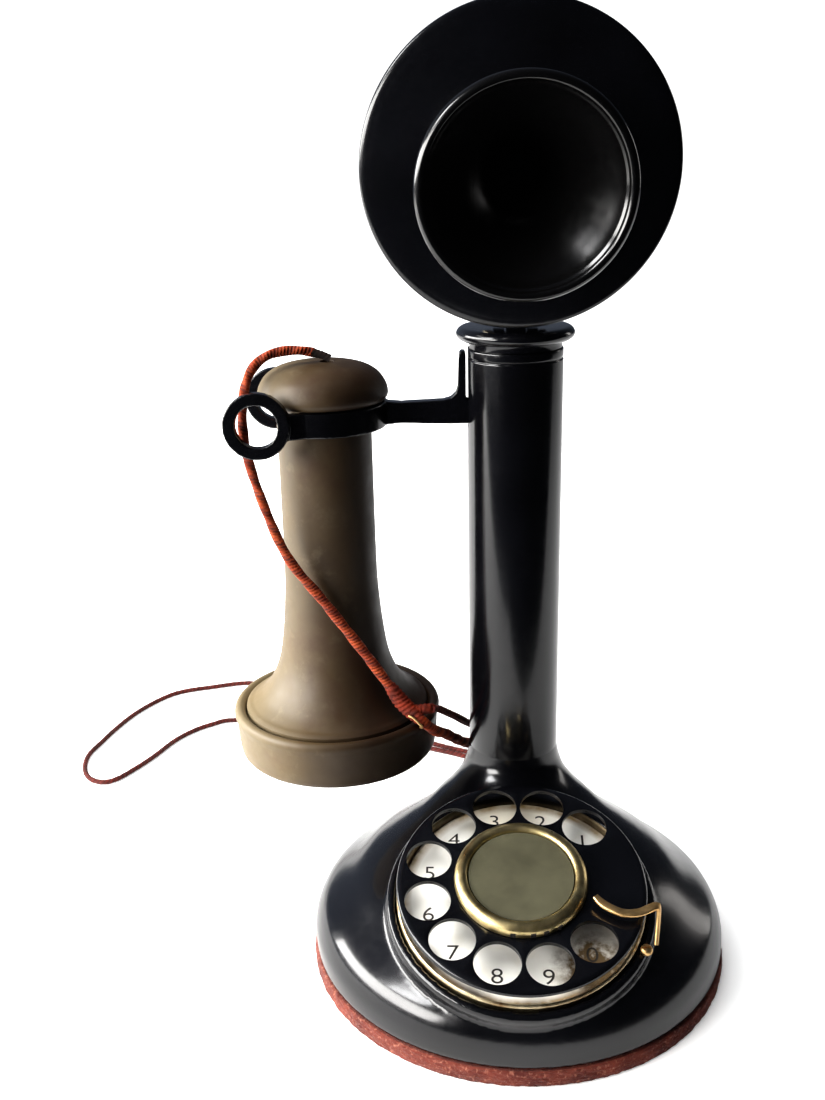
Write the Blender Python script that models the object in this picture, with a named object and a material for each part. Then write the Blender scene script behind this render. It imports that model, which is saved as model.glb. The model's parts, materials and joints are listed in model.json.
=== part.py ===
"""A desk telephone of the candlestick kind, with a rotary dial in its base.

The origin is the middle of the felt underside. +Z is up, the dial and the mouthpiece face -Y,
and the receiver hangs on the hook on the -X side.
"""

import math

import bmesh
import bpy
from mathutils import Matrix, Vector

MM = 0.001
GAP = 0.3  # between pieces that touch on the real telephone

# Driving dimensions, in millimetres.
BASE_RADIUS = 67.1
FELT_RADIUS = 67.7
FELT_THICK = 5.0
SHELL_WALL = 3.6
STEM_Y = 30.0
STEM_RADIUS = 15.0
STEM_BORE = 13.3
STEM_TOP = 196.3
BEAD_RADIUS = 18.4
BEAD_Z = 200.9
PIVOT_Z = 209.5

DIAL_CENTRE = (0.0, -30.2, 43.7)
DIAL_TILT = math.radians(19.5)
WHEEL_RADIUS = 38.1
HOLE_CIRCLE = 29.2
HOLE_RADIUS = 7.0
HOLE_COUNT = 10
FIRST_HOLE = math.radians(44.4)
HOLE_STEP = math.radians(30)
DRUM_RADIUS = 41.5
DRUM_BORE = 38.6
DRUM_TOP = -7.6
PLATE_DEPTH = -8.8
GEAR_MODULE = 0.75
GEAR_TEETH = 40
PINION_TEETH = 10

TRANSMITTER_CENTRE = (0.0, 6.1, 249.3)
TRANSMITTER_DOWN = math.radians(6.06)
FACE_RADIUS = 45.0
MOUTH_RADIUS = 28.5
MOUTH_LENGTH = 36.6

HOOK_PIVOT = (2.0, STEM_Y, 176.5)
RECEIVER_X = -60.7
CAP_RADIUS = 20.7
NECK_RADIUS = 15.1
EAR_RADIUS = 35.2
EAR_BOTTOM = 59.0
EAR_TOP = 76.0
CAP_BOTTOM = 180.5
CAP_TOP = 193.0
FORK_INSIDE = 16.4
FORK_OUTSIDE = 20.2
FORK_LOW = 172.4
FORK_HIGH = 180.2
RING_X = -78.9
RING_OFFSET = 21.0
RING_Z = 177.0
RING_RADIUS = 10.3
RING_HOLE = 6.7
RING_THICK = 3.6

CORD_RADIUS = 1.7
LEAD_RADIUS = 0.95
CORD_BUSH = (-12.0, 66.8, 10.6)
LEAD_BUSH = (10.0, 66.8, 10.6)


def clear_scene():
    for item in list(bpy.data.objects):
        bpy.data.objects.remove(item)


def material(name, colour, roughness, metallic=0.0):
    made = bpy.data.materials.new(name)
    made.use_nodes = True
    shader = made.node_tree.nodes["Principled BSDF"]
    shader.inputs["Base Color"].default_value = (*colour, 1.0)
    shader.inputs["Roughness"].default_value = roughness
    shader.inputs["Metallic"].default_value = metallic
    return made


def empty(name, place, turn=0.0):
    """A frame at a place in mm, turned about X."""
    made = bpy.data.objects.new(name, None)
    made.location = Vector(place) * MM
    made.rotation_euler = (turn, 0.0, 0.0)
    bpy.context.scene.collection.objects.link(made)
    return made


def add(name, bm, finish, parent=None, place=(0, 0, 0), turn=(0, 0, 0)):
    """Turn a bmesh in millimetres into an object in metres."""
    bmesh.ops.scale(bm, vec=(MM, MM, MM), verts=bm.verts)
    bmesh.ops.remove_doubles(bm, verts=bm.verts, dist=1e-7)
    bmesh.ops.recalc_face_normals(bm, faces=bm.faces)
    mesh = bpy.data.meshes.new(name)
    bm.to_mesh(mesh)
    bm.free()
    mesh.shade_smooth()
    mesh.set_sharp_from_angle(angle=math.radians(35))
    made = bpy.data.objects.new(name, mesh)
    made.location = Vector(place) * MM
    made.rotation_euler = turn
    made.parent = parent
    if finish:
        mesh.materials.append(finish)
    bpy.context.scene.collection.objects.link(made)
    return made


def turned(profile, segments=48):
    """A profile of (radius, height) points, closed on itself, turned about Z."""
    bm = bmesh.new()
    points = [bm.verts.new((radius, 0, height)) for radius, height in profile]
    pairs = zip(points, points[1:] + points[:1])
    edges = [bm.edges.new(pair) for pair in pairs if pair[0].co.x or pair[1].co.x]
    bmesh.ops.spin(
        bm,
        geom=points + edges,
        axis=(0, 0, 1),
        cent=(0, 0, 0),
        steps=segments,
        angle=math.tau,
        use_merge=True,
    )
    bmesh.ops.remove_doubles(bm, verts=bm.verts, dist=1e-4)
    bmesh.ops.dissolve_degenerate(bm, edges=bm.edges, dist=1e-5)
    return bm


def rod(radius, low, high, segments=24):
    return turned([(0, high), (radius, high), (radius, low), (0, low)], segments)


def tube(outer, inner, low, high, segments=32):
    return turned([(inner, high), (outer, high), (outer, low), (inner, low)], segments)


def slab(outline, low, high):
    """An outline of (x, y) points raised from one height to another."""
    bm = bmesh.new()
    face = bm.faces.new([bm.verts.new((x, y, low)) for x, y in outline])
    raised = bmesh.ops.extrude_face_region(bm, geom=[face])["geom"]
    verts = [item for item in raised if isinstance(item, bmesh.types.BMVert)]
    bmesh.ops.translate(bm, vec=(0, 0, high - low), verts=verts)
    return bm


def nut(across, low, high):
    """A hexagonal block, before its bore is cut."""
    return slab(arc((0, 0), across / math.sqrt(3), 0, 300, 5), low, high)


def box(low, high):
    outline = [(low[0], low[1]), (high[0], low[1]), (high[0], high[1]), (low[0], high[1])]
    return slab(outline, low[2], high[2])


def merged(*parts):
    """Several separate closed shapes in one bmesh, for use as one cutter."""
    whole = bmesh.new()
    for part in parts:
        mesh = bpy.data.meshes.new("part")
        part.to_mesh(mesh)
        part.free()
        whole.from_mesh(mesh)
        bpy.data.meshes.remove(mesh)
    return whole


def moved(bm, place=(0, 0, 0), turn=0.0, axis="X"):
    """A bmesh turned about one axis through the origin, then moved."""
    bm.transform(Matrix.Translation(place) @ Matrix.Rotation(turn, 4, axis))
    return bm


def boolean(target, bm, operation, parent=None):
    helper = add(f"{target.name}_{operation.lower()}", bm, None, parent)
    helper.hide_render = True
    helper.display_type = "WIRE"
    step = target.modifiers.new(operation.title(), "BOOLEAN")
    step.operation = operation
    step.object = helper
    return helper


def cut(target, bm, parent=None):
    return boolean(target, bm, "DIFFERENCE", parent)


def join(target, bm, parent=None):
    return boolean(target, bm, "UNION", parent)


def arc(centre, radius, start, end, steps):
    """Points on an arc, with its angles in degrees."""
    found = []
    for step in range(steps + 1):
        angle = math.radians(start + (end - start) * step / steps)
        found.append((centre[0] + radius * math.cos(angle), centre[1] + radius * math.sin(angle)))
    return found


def smooth_route(route, spacing, most):
    """Points at even spacing along a Catmull-Rom curve through the route's points."""
    ends = [route[0] * 2 - route[1]] + route + [route[-1] * 2 - route[-2]]
    fine = []
    for a, b, c, d in zip(ends, ends[1:], ends[2:], ends[3:]):
        for step in range(16):
            t = step / 16
            fine.append(0.5 * (b * 2 + (c - a) * t + (a * 2 - b * 5 + c * 4 - d) * t**2
                               + (b * 3 - a - c * 3 + d) * t**3))
    fine.append(route[-1])
    lengths = [0.0]
    for a, b in zip(fine, fine[1:]):
        lengths.append(lengths[-1] + (b - a).length)
    count = min(most, round(lengths[-1] / spacing))
    even = []
    index = 0
    for step in range(count + 1):
        along = lengths[-1] * step / count
        while index < len(fine) - 2 and lengths[index + 1] < along:
            index += 1
        share = (along - lengths[index]) / (lengths[index + 1] - lengths[index])
        even.append(fine[index].lerp(fine[index + 1], share))
    return even


def pipe(name, route, radius, finish, parent=None, spacing=4.0, most=78):
    """A round tube along a smooth route in mm, as a bevelled poly curve with filled caps."""
    points = smooth_route([Vector(point) for point in route], spacing, most)
    curve = bpy.data.curves.new(name, "CURVE")
    curve.dimensions = "3D"
    curve.bevel_depth = radius * MM
    curve.bevel_resolution = 2
    curve.use_fill_caps = True
    curve.materials.append(finish)
    spline = curve.splines.new("POLY")
    spline.points.add(len(points) - 1)
    for target, point in zip(spline.points, points):
        target.co = (*(point * MM), 1.0)
    made = bpy.data.objects.new(name, curve)
    made.parent = parent
    bpy.context.scene.collection.objects.link(made)
    return made


def base_outline(shrink=0.0, drop=0.0):
    """The base's level sections from bottom to top, as (height, middle y, radius)."""
    sections = [
        (FELT_THICK + GAP, 0.0, BASE_RADIUS - 0.4),
        (7.0, 0.0, BASE_RADIUS),
        (12.0, 0.0, BASE_RADIUS),
        (15.4, 0.0, 66.2),
        (18.0, 0.1, 64.9),
        (20.5, 0.3, 62.8),
        (25.6, 0.9, 56.2),
        (30.8, 2.2, 49.8),
        (34.5, 4.0, 43.8),
        (37.5, 6.9, 38.2),
        (40.2, 11.0, 32.8),
        (43.2, 17.5, 27.2),
        (46.6, 23.0, 21.8),
        (50.5, 27.2, 17.9),
        (54.5, 29.6, 16.3),
        (58.0, STEM_Y, 16.0),
    ]
    return [(height - drop, middle, radius - shrink) for height, middle, radius in sections]


def stacked(sections, segments=40):
    """A closed solid through level circles that stand on each other."""
    bm = bmesh.new()
    rings = []
    for height, middle, radius in sections:
        place = Matrix.Translation((0, middle, height))
        ring = bmesh.ops.create_circle(bm, segments=segments, radius=radius, matrix=place)
        rings.append(ring["verts"])
    for low, high in zip(rings, rings[1:]):
        for a, b, c, d in zip(low, low[1:] + low[:1], high[1:] + high[:1], high):
            bm.faces.new((a, b, c, d))
    bm.faces.new(rings[0])
    bm.faces.new(rings[-1])
    return bm


def make_base(finishes):
    """The shell, its plate, screws, felt and rear bushes."""
    shell = add("base_shell", stacked(base_outline()), finishes["enamel"])
    dial = empty("dial_mount_axis", DIAL_CENTRE, DIAL_TILT)
    drum = turned([(0, DRUM_TOP), (DRUM_RADIUS - 1.2, DRUM_TOP), (DRUM_RADIUS, DRUM_TOP - 1.2),
                   (DRUM_RADIUS, -18), (0, -18)], 40)
    join(shell, drum, dial)
    hollow = [(2.0, 0.0, BASE_RADIUS - SHELL_WALL)] + base_outline(SHELL_WALL, SHELL_WALL)[2:9]
    cut(shell, stacked(hollow, 28))
    cut(shell, rod(DRUM_BORE, -30, 2, 40), dial)
    cut(shell, moved(rod(STEM_RADIUS + GAP, 0, 80, 32), (0, STEM_Y, 0)))
    for bush in (CORD_BUSH, LEAD_BUSH):
        cut(shell, moved(rod(3.3, -9, 9, 14), bush, math.radians(-90)))

    plate = add("base_plate", rod(BASE_RADIUS - SHELL_WALL - 2 * GAP, 5.3, 7.3, 28), finishes["steel"])
    for number, angle in enumerate((90, 210, 330), 1):
        x = 54 * math.cos(math.radians(angle))
        y = 54 * math.sin(math.radians(angle))
        boss = tube(3.6, 1.9, 7.6, 21.5, 12)
        join(shell, moved(boss, (x, y, 0)))
        hole = turned([(0, 9), (1.9, 9), (1.9, 6.6), (3.5, 6.6), (3.5, 4), (0, 4)], 12)
        cut(plate, moved(hole, (x, y, 0)))
        screw = turned([(0, 16), (1.5, 16), (1.5, 6.3), (3.0, 6.3), (3.0, 5.3), (0, 5.3)], 10)
        add(f"base_screw_{number}", moved(screw, (x, y, 0)), finishes["steel"])

    felt = turned([(0, FELT_THICK), (FELT_RADIUS - 0.5, FELT_THICK), (FELT_RADIUS, FELT_THICK - 0.8),
                   (FELT_RADIUS, 0.6), (FELT_RADIUS - 0.6, 0), (0, 0)], 40)
    add("felt_pad", felt, finishes["felt"])

    for name, place, bore in (("cord_bush", CORD_BUSH, 2.0), ("lead_bush", LEAD_BUSH, 2.5)):
        bush = turned([(bore, 1.4), (3.6, 1.4), (4.2, 0.8), (4.2, 0.3), (3.0, 0.3), (3.0, -5.5),
                       (bore, -5.5)], 14)
        add(name, bush, finishes["rubber"], None, place, (math.radians(-90), 0, 0))

    block = box((-50, -2, 7.6), (-40, 26, 14.5))
    add("terminal_block", block, finishes["ebonite"])
    for number in range(1, 4):
        screw = turned([(0, 18), (2.2, 18), (2.2, 14.8), (0, 14.8)], 12)
        add(f"terminal_screw_{number}", moved(screw, (-45, 8 * number - 4, 0)), finishes["brass"])


def make_stem(finishes):
    """The tube, the nut that holds it, and the head that carries the transmitter."""
    tube_bm = tube(STEM_RADIUS, STEM_BORE, 9.0, STEM_TOP, 32)
    stem = add("stem_tube", moved(tube_bm, (0, STEM_Y, 0)), finishes["enamel"])
    cut(stem, box((-20, STEM_Y - 2.8, 171.6), (-10, STEM_Y + 2.8, STEM_TOP + 5)))
    big_nut = add("stem_nut", moved(nut(38.0, 10.0, 15.0), (0, STEM_Y, 0)), finishes["steel"])
    cut(big_nut, moved(rod(STEM_RADIUS + GAP, 8, 17, 32), (0, STEM_Y, 0)))

    top = STEM_TOP + GAP
    head_bm = turned([(0, BEAD_Z + 2.3), (14.0, BEAD_Z + 2.3), (16.6, BEAD_Z + 1.9),
                      (18.0, BEAD_Z + 1.1), (BEAD_RADIUS, BEAD_Z), (18.0, BEAD_Z - 1.1),
                      (16.6, BEAD_Z - 2.0), (14.4, BEAD_Z - 2.4), (14.4, top),
                      (13.0, top), (13.0, 187.0), (0, 187.0)], 32)
    head = add("stem_head", moved(head_bm, (0, STEM_Y, 0)), finishes["enamel"])
    outline = [(5.2, -8.0)] + arc((0, 0), 5.2, 0, 180, 10) + [(-5.2, -8.0)]
    tongue = moved(moved(slab(outline, -3.0, 3.0), turn=math.radians(90)), turn=math.radians(90), axis="Z")
    join(head, moved(tongue, (0, STEM_Y, PIVOT_Z)))
    bore = moved(rod(2.2, -12, 12, 16), turn=math.radians(90), axis="Y")
    cut(head, moved(bore, (0, STEM_Y, PIVOT_Z)))
    cut(head, box((-16, STEM_Y - 2.9, 180), (-11.4, STEM_Y + 2.9, BEAD_Z - 2.3)))


def make_switch(finishes):
    """The hook's bearing frame and the contacts that it works, inside the stem."""
    low, high = 132.0, 184.0
    channel = [(-11, -6.2), (9.5, -6.2), (9.5, 6.2), (-11, 6.2), (-11, 5.0), (8.3, 5.0),
               (8.3, -5.0), (-11, -5.0)]
    bracket = add("switch_frame", moved(slab(channel, low, high), (0, STEM_Y, 0)), finishes["steel"])
    join(bracket, box((-11, STEM_Y - 5.6, 152.5), (-3.5, STEM_Y + 5.6, 154.0)))
    pin_hole = moved(rod(1.4, -9, 9, 16), turn=math.radians(90))
    cut(bracket, moved(pin_hole, HOOK_PIVOT))
    pin = moved(rod(1.1, -7.4, 7.4, 16), turn=math.radians(90))
    add("hook_pivot_pin", moved(pin, HOOK_PIVOT), finishes["steel"])
    block = box((3.6, STEM_Y - 4.0, 134), (8.0, STEM_Y + 4.0, 143.7))
    add("contact_block", block, finishes["ebonite"])
    for number in range(1, 4):
        x = 2.7 + 1.3 * number
        leaf = box((x, STEM_Y - 2, 144), (x + 0.4, STEM_Y + 2, 168 - 2 * number))
        add(f"contact_spring_{number}", leaf, finishes["brass"])
    turns, steps = 4, 8
    coil = []
    for step in range(turns * steps + 1):
        angle = math.tau * step / steps
        height = 154.9 + (171.6 - 154.9) * step / (turns * steps)
        coil.append((-7.4 + 2.4 * math.cos(angle), STEM_Y + 2.4 * math.sin(angle), height))
    pipe("hook_spring", coil, 0.4, finishes["steel"], spacing=1.9, most=34)


def make_hook(finishes):
    """The lever: arm, tang over the slot, inner arm with its tail, fork and end ring."""
    hinge = empty("hook_axis", HOOK_PIVOT)
    side = [(-17.4, 172.6), (-15.2, 172.6), (-4, 173.0), (0.6, 172.4), (0.8, 150), (3.2, 150),
            (3.6, 168), (5.6, 174)] + arc(HOOK_PIVOT[::2], 3.6, -20, 115, 8) + [
            (-4, 180.2), (-15.4, 180.2), (-15.4, 194.6), (-15.9, 195.6), (-17.0, 195.6),
            (-17.6, 194.9), (-18.0, 184.5), (-19.2, 181.8), (-22.0, 180.3), (-43.0, 180.2),
            (-43.0, 172.4), (-20.0, 172.4)]
    profile = moved(slab(side, -2.3, 2.3), turn=math.radians(90))
    profile.transform(Matrix.Translation((0, STEM_Y, 0)) @ Matrix.Translation([-c for c in HOOK_PIVOT]))
    hook = add("hook_lever", profile, finishes["enamel"], hinge)
    bearing = moved(rod(1.4, -9, 9, 16), turn=math.radians(90))
    cut(hook, bearing, hinge)

    inner = arc((RECEIVER_X, STEM_Y), FORK_INSIDE, 100, -100, 20)
    front = [(-72.0, STEM_Y - 18.4), (-79.0, STEM_Y - 19.4), (-79.0, STEM_Y - 22.4),
             (-70.0, STEM_Y - 22.0)]
    outer = arc((RECEIVER_X, STEM_Y), FORK_OUTSIDE, -100, 100, 20)
    back = [(x, 2 * STEM_Y - y) for x, y in reversed(front)]
    fork = slab(inner + front + outer + back, FORK_LOW, FORK_HIGH)
    join(hook, moved(fork, [-c for c in HOOK_PIVOT]), hinge)
    for side in (-1, 1):
        offset = Vector((RING_X, STEM_Y + side * RING_OFFSET, RING_Z)) - Vector(HOOK_PIVOT)
        half = RING_THICK / 2
        join(hook, moved(moved(rod(RING_RADIUS, -half, half, 28), turn=math.radians(90)), offset), hinge)
        eye = moved(rod(RING_HOLE, -2 * RING_THICK, 2 * RING_THICK, 24), turn=math.radians(90))
        cut(hook, moved(eye, offset), hinge)


def gear(teeth, module, low, high, phase=0.0):
    """A spur gear with short straight-sided teeth, about its own axis."""
    pitch = teeth * module / 2
    root, tip = pitch - 1.1 * module, pitch + 0.55 * module
    outline = []
    for tooth in range(teeth):
        middle = math.tau * (tooth + phase) / teeth
        for share, radius in ((-0.22, root), (-0.12, tip), (0.12, tip), (0.22, root)):
            angle = middle + share * math.tau / teeth
            outline.append((radius * math.cos(angle), radius * math.sin(angle)))
    return slab(outline, low, high)


def make_dial(finishes):
    """The dial: fixed plates, the turning wheel with its gear, and the governor."""
    still = empty("dial_frame_axis", DIAL_CENTRE, DIAL_TILT)
    turning = empty("dial_axis", DIAL_CENTRE, DIAL_TILT)

    disc = turned([(3.2, 0), (36.6, 0), (37.6, -0.3), (WHEEL_RADIUS, -1.0), (WHEEL_RADIUS, -1.7),
                   (37.2, -2.0), (36.4, -1.5), (3.2, -1.5)], 40)
    wheel = add("finger_wheel", disc, finishes["enamel"], turning)
    holes = []
    for number in range(HOLE_COUNT):
        angle = FIRST_HOLE + number * HOLE_STEP
        place = (HOLE_CIRCLE * math.cos(angle), HOLE_CIRCLE * math.sin(angle), 0)
        holes.append(moved(rod(HOLE_RADIUS, -4, 4, 14), place))
    cut(wheel, merged(*holes), turning)
    ring = [(16.2, 3.6), (17.6, 3.9), (19.2, 3.4), (20.3, 2.0), (20.3, 0.3), (16.2, 0.3)]
    add("card_ring", turned(ring, 28), finishes["brass"], turning)
    add("number_card", rod(15.9, 2.2, 2.6, 28), finishes["card"], turning)
    add("card_window", turned([(0, 3.5), (14, 3.4), (15.9, 3.1), (15.9, 2.9), (0, 2.9)], 28),
        finishes["celluloid"], turning)
    shaft = turned([(0, 1.9), (6.0, 1.9), (6.0, 0.3), (2.6, 0.3), (2.6, -24), (0, -24)], 16)
    add("dial_shaft", shaft, finishes["steel"], turning)
    teeth = gear(GEAR_TEETH, GEAR_MODULE, -21.5, -19.5)
    main = add("main_gear", teeth, finishes["brass"], turning)
    cut(main, rod(2.9, -23, -18, 16), turning)

    add("number_plate", tube(36.8, 5.0, PLATE_DEPTH - 1.0, PLATE_DEPTH, 40), finishes["plate"], still)
    bezel = [(37.1, -6.6), (37.5, -6.1), (38.0, -6.3), (38.3, -7.0), (38.3, -9.8), (37.1, -9.8)]
    add("dial_bezel", turned(bezel, 40), finishes["nickel"], still)
    frame = add("dial_frame", tube(38.3, 3.0, -11.8, -10.1, 40), finishes["steel"], still)
    spacing = (GEAR_TEETH + PINION_TEETH) * GEAR_MODULE / 2
    cut(frame, moved(rod(1.7, -14, -8, 16), (0, -spacing, 0)), still)
    post = moved(tube(1.8, 0.2, -27.5, -11.0, 12), (10, 17, 0))
    join(frame, post, still)

    spring = []
    turns, steps, thick = 3, 14, 0.6
    for side in (1, -1):
        found = []
        for step in range(turns * steps + 1):
            angle = math.tau * step / steps
            radius = 4.6 + 8.0 * step / (turns * steps) + side * thick / 2
            found.append((radius * math.cos(angle), radius * math.sin(angle)))
        spring += found[::side]
    add("mainspring", slab(spring, -17.6, -13.2), finishes["steel"], still)

    place = Vector(DIAL_CENTRE) + Matrix.Rotation(DIAL_TILT, 3, "X") @ Vector((0, -spacing, 0))
    governor = empty("governor_axis", place, DIAL_TILT)
    teeth = gear(PINION_TEETH, GEAR_MODULE, -22.0, -19.0, 0.5)
    pinion = moved(teeth, turn=math.radians(90), axis="Z")
    spindle = add("governor_shaft", pinion, finishes["steel"], governor)
    join(spindle, rod(1.2, -26.9, -9.9, 12), governor)
    weights = [(-7.5, -1.6), (-4.0, -2.4), (-1.6, -1.6), (1.6, -1.6), (4.0, -2.4), (7.5, -1.6),
               (7.5, 1.6), (4.0, 2.4), (1.6, 1.6), (-1.6, 1.6), (-4.0, 2.4), (-7.5, 1.6)]
    bar = add("governor_weights", slab(weights, -26.2, -24.2), finishes["brass"], governor)
    cut(bar, rod(1.4, -30, -20, 12), governor)
    cup = moved(turned([(9.4, -23.2), (10.2, -23.2), (10.2, -28.2), (1.6, -28.2), (1.6, -27.4),
                        (9.4, -27.4)], 20), (0, -spacing, 0))
    add("governor_cup", cup, finishes["steel"], still)

    stop = [(21.8, -8.3, 3.3), (25.0, -11.2, 3.0), (29.5, -13.6, 3.0), (34.5, -13.2, 3.2),
            (38.6, -11.2, 3.6), (39.9, -11.6, 2.4), (39.9, -12.8, -0.5), (39.6, -15.0, -3.6),
            (39.2, -17.5, -6.6)]
    pipe("finger_stop", stop, 0.8, finishes["brass"], still, spacing=1.8)
    screw = turned([(0, -5.6), (1.2, -5.7), (1.8, -6.3), (1.8, -7.2), (0, -7.2)], 14)
    add("finger_stop_screw", moved(screw, (36.2, -19.2, 0)), finishes["brass"], still)


def make_transmitter(finishes):
    """The transmitter: cup with its lug, faceplate, mouthpiece and the working pieces inside."""
    turn = math.radians(90) + TRANSMITTER_DOWN
    tilt = empty("transmitter_axis", (0, STEM_Y, PIVOT_Z), turn)
    offset = Vector(TRANSMITTER_CENTRE) - Vector((0, STEM_Y, PIVOT_Z))
    centre = Matrix.Rotation(turn, 3, "X").transposed() @ offset

    cup_bm = turned([(43.0, -3.3), (44.6, -3.3), (FACE_RADIUS, -4.0), (FACE_RADIUS, -8.4),
                     (44.0, -10.6), (41.5, -12.8), (35.0, -15.6), (24.0, -18.0), (12.0, -19.4),
                     (0, -19.6), (0, -17.6), (11.0, -17.4), (23.0, -16.0), (34.0, -13.6),
                     (40.0, -11.2), (42.4, -8.6)], 36)
    cup = add("transmitter_cup", moved(cup_bm, centre), finishes["enamel"], tilt)
    for side in (-1, 1):
        outline = arc((0, 0), 5.0, 150, 330, 10) + [(9.5, 3.5), (6.5, 14.0), (3.6, 16.0)]
        ear = slab([(z, y) for z, y in outline], -1.7, 1.7)
        ear.transform(Matrix(((0, 0, 1, 0), (0, 1, 0, 0), (1, 0, 0, 0), (0, 0, 0, 1))))
        join(cup, moved(ear, (side * 5.2, 0, 0)), tilt)
    cut(cup, moved(rod(2.2, -12, 12, 16), turn=math.radians(90), axis="Y"), tilt)
    bolt_axis = {"turn": math.radians(90), "axis": "Y"}
    bolt = turned([(0, -10.6), (2.6, -10.4), (3.8, -9.4), (3.8, -7.2), (2.0, -7.2), (2.0, 10.4),
                   (0, 10.4)], 20)
    add("pivot_bolt", moved(bolt, **bolt_axis), finishes["nickel"], tilt)
    small_nut = add("pivot_nut", moved(nut(7.4, 7.3, 9.5), **bolt_axis), finishes["nickel"], tilt)
    cut(small_nut, moved(rod(2.3, 6, 11, 20), **bolt_axis), tilt)

    face = turned([(11.0, 2.6), (17.0, 2.2), (30.0, 1.3), (42.6, 0.0), (44.4, -0.4),
                   (FACE_RADIUS, -1.3), (FACE_RADIUS, -2.3), (44.4, -3.0), (42.6, -3.0),
                   (41.0, -1.8), (30.0, -0.4), (17.0, 0.4), (11.0, 0.6)], 36)
    add("faceplate", moved(face, centre), finishes["enamel"], tilt)
    length, rim = MOUTH_LENGTH, MOUTH_RADIUS
    bowl = [(5.0, 5.5), (5.5, 7.4), (7.4, 12.5), (10.4, 18.0), (14.0, 22.9), (17.6, 27.2),
            (21.0, 31.0), (23.6, 34.0), (25.0, length - 0.7)]
    lip = [(25.8, length + 0.4), (26.8, length + 0.9), (27.8, length + 0.5), (rim, length - 0.8),
           (28.3, length - 2.6), (26.8, length - 4.4), (25.0, length - 8.0)]
    back = [(21.0, 18.5), (17.6, 11.5), (16.0, 7.0), (16.0, 2.9), (10.6, 2.9), (10.6, 0.9), (5.0, 0.9)]
    horn = turned(bowl + lip + back, 32)
    add("mouthpiece", moved(horn, centre), finishes["ebonite"], tilt)
    add("transmitter_diaphragm", moved(rod(27.0, -2.4, -1.8, 24), centre), finishes["steel"], tilt)
    button = turned([(0, -2.7), (2.0, -2.7), (2.0, -4.4), (9.0, -4.4), (9.0, -7.6), (0, -7.6)], 16)
    add("carbon_button", moved(button, centre), finishes["brass"], tilt)
    bridge = moved(box((-39.5, -6, -9.4), (39.5, 6, -7.9)), centre)
    add("transmitter_bridge", bridge, finishes["steel"], tilt)


def make_receiver(finishes):
    """The receiver: shell, cap, ear cap and the magnet, coils and diaphragm inside."""
    lift = empty("receiver_axis", (RECEIVER_X, STEM_Y, 0))
    cap_bm = turned([(0, CAP_TOP), (8, 192.6), (14, 191.2), (17.8, 188.9), (19.9, 186.0),
                     (CAP_RADIUS, 183.4), (20.5, 181.4), (20.0, CAP_BOTTOM), (0, CAP_BOTTOM)], 28)
    cap = add("receiver_cap", cap_bm, finishes["ebonite_brown"], lift)
    cut(cap, moved(rod(2.4, 170, 200, 12), (1.8, -1.0, 0)), lift)
    shell = turned([(0, 180.2), (NECK_RADIUS, 180.2), (NECK_RADIUS, 125), (15.4, 117), (16.4, 105.5),
                    (18.2, 94.0), (21.0, 86.2), (24.6, 80.8), (28.0, 77.6), (30.6, EAR_TOP),
                    (31.0, 75.0), (31.0, 64.4), (28.5, 64.4), (28.5, 72.0), (25.0, 76.0),
                    (18.0, 84.0), (14.6, 96.0), (12.6, 112.0), (12.4, 172.0), (0, 172.0)], 28)
    body = add("receiver_shell", shell, finishes["ebonite_brown"], lift)
    cut(body, moved(rod(2.4, 160, 190, 12), (1.8, -1.0, 0)), lift)
    ear = turned([(6.0, 62.2), (6.0, 61.4), (10.0, 60.4), (24.0, EAR_BOTTOM + 0.3), (30.0, EAR_BOTTOM),
                  (32.4, EAR_BOTTOM + 0.5), (33.6, EAR_BOTTOM + 2.0), (34.6, 71.5), (EAR_RADIUS, 73.0),
                  (EAR_RADIUS, 74.6), (34.4, EAR_TOP), (33.0, 76.1), (31.6, 75.2), (31.3, 74.0),
                  (31.3, 62.2)], 32)
    add("ear_cap", ear, finishes["ebonite_brown"], lift)
    add("receiver_diaphragm", rod(30.6, 63.1, 63.6, 24), finishes["steel"], lift)
    legs = [(-9.0, 76.0), (-5.0, 76.0), (-5.0, 158.0), (5.0, 158.0), (5.0, 76.0), (9.0, 76.0),
            (9.0, 166.0), (-9.0, 166.0)]
    magnet = moved(slab(legs, -3.0, 3.0), turn=math.radians(90))
    add("receiver_magnet", magnet, finishes["steel"], lift)
    for number, x in ((1, -7.0), (2, 7.0)):
        coil = turned([(0, 75.6), (1.6, 75.6), (1.6, 74.0), (5.4, 74.0), (5.4, 66.0), (1.6, 66.0),
                       (1.6, 64.2), (0, 64.2)], 12)
        add(f"receiver_coil_{number}", moved(coil, (x, 0, 0)), finishes["copper"], lift)


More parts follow.
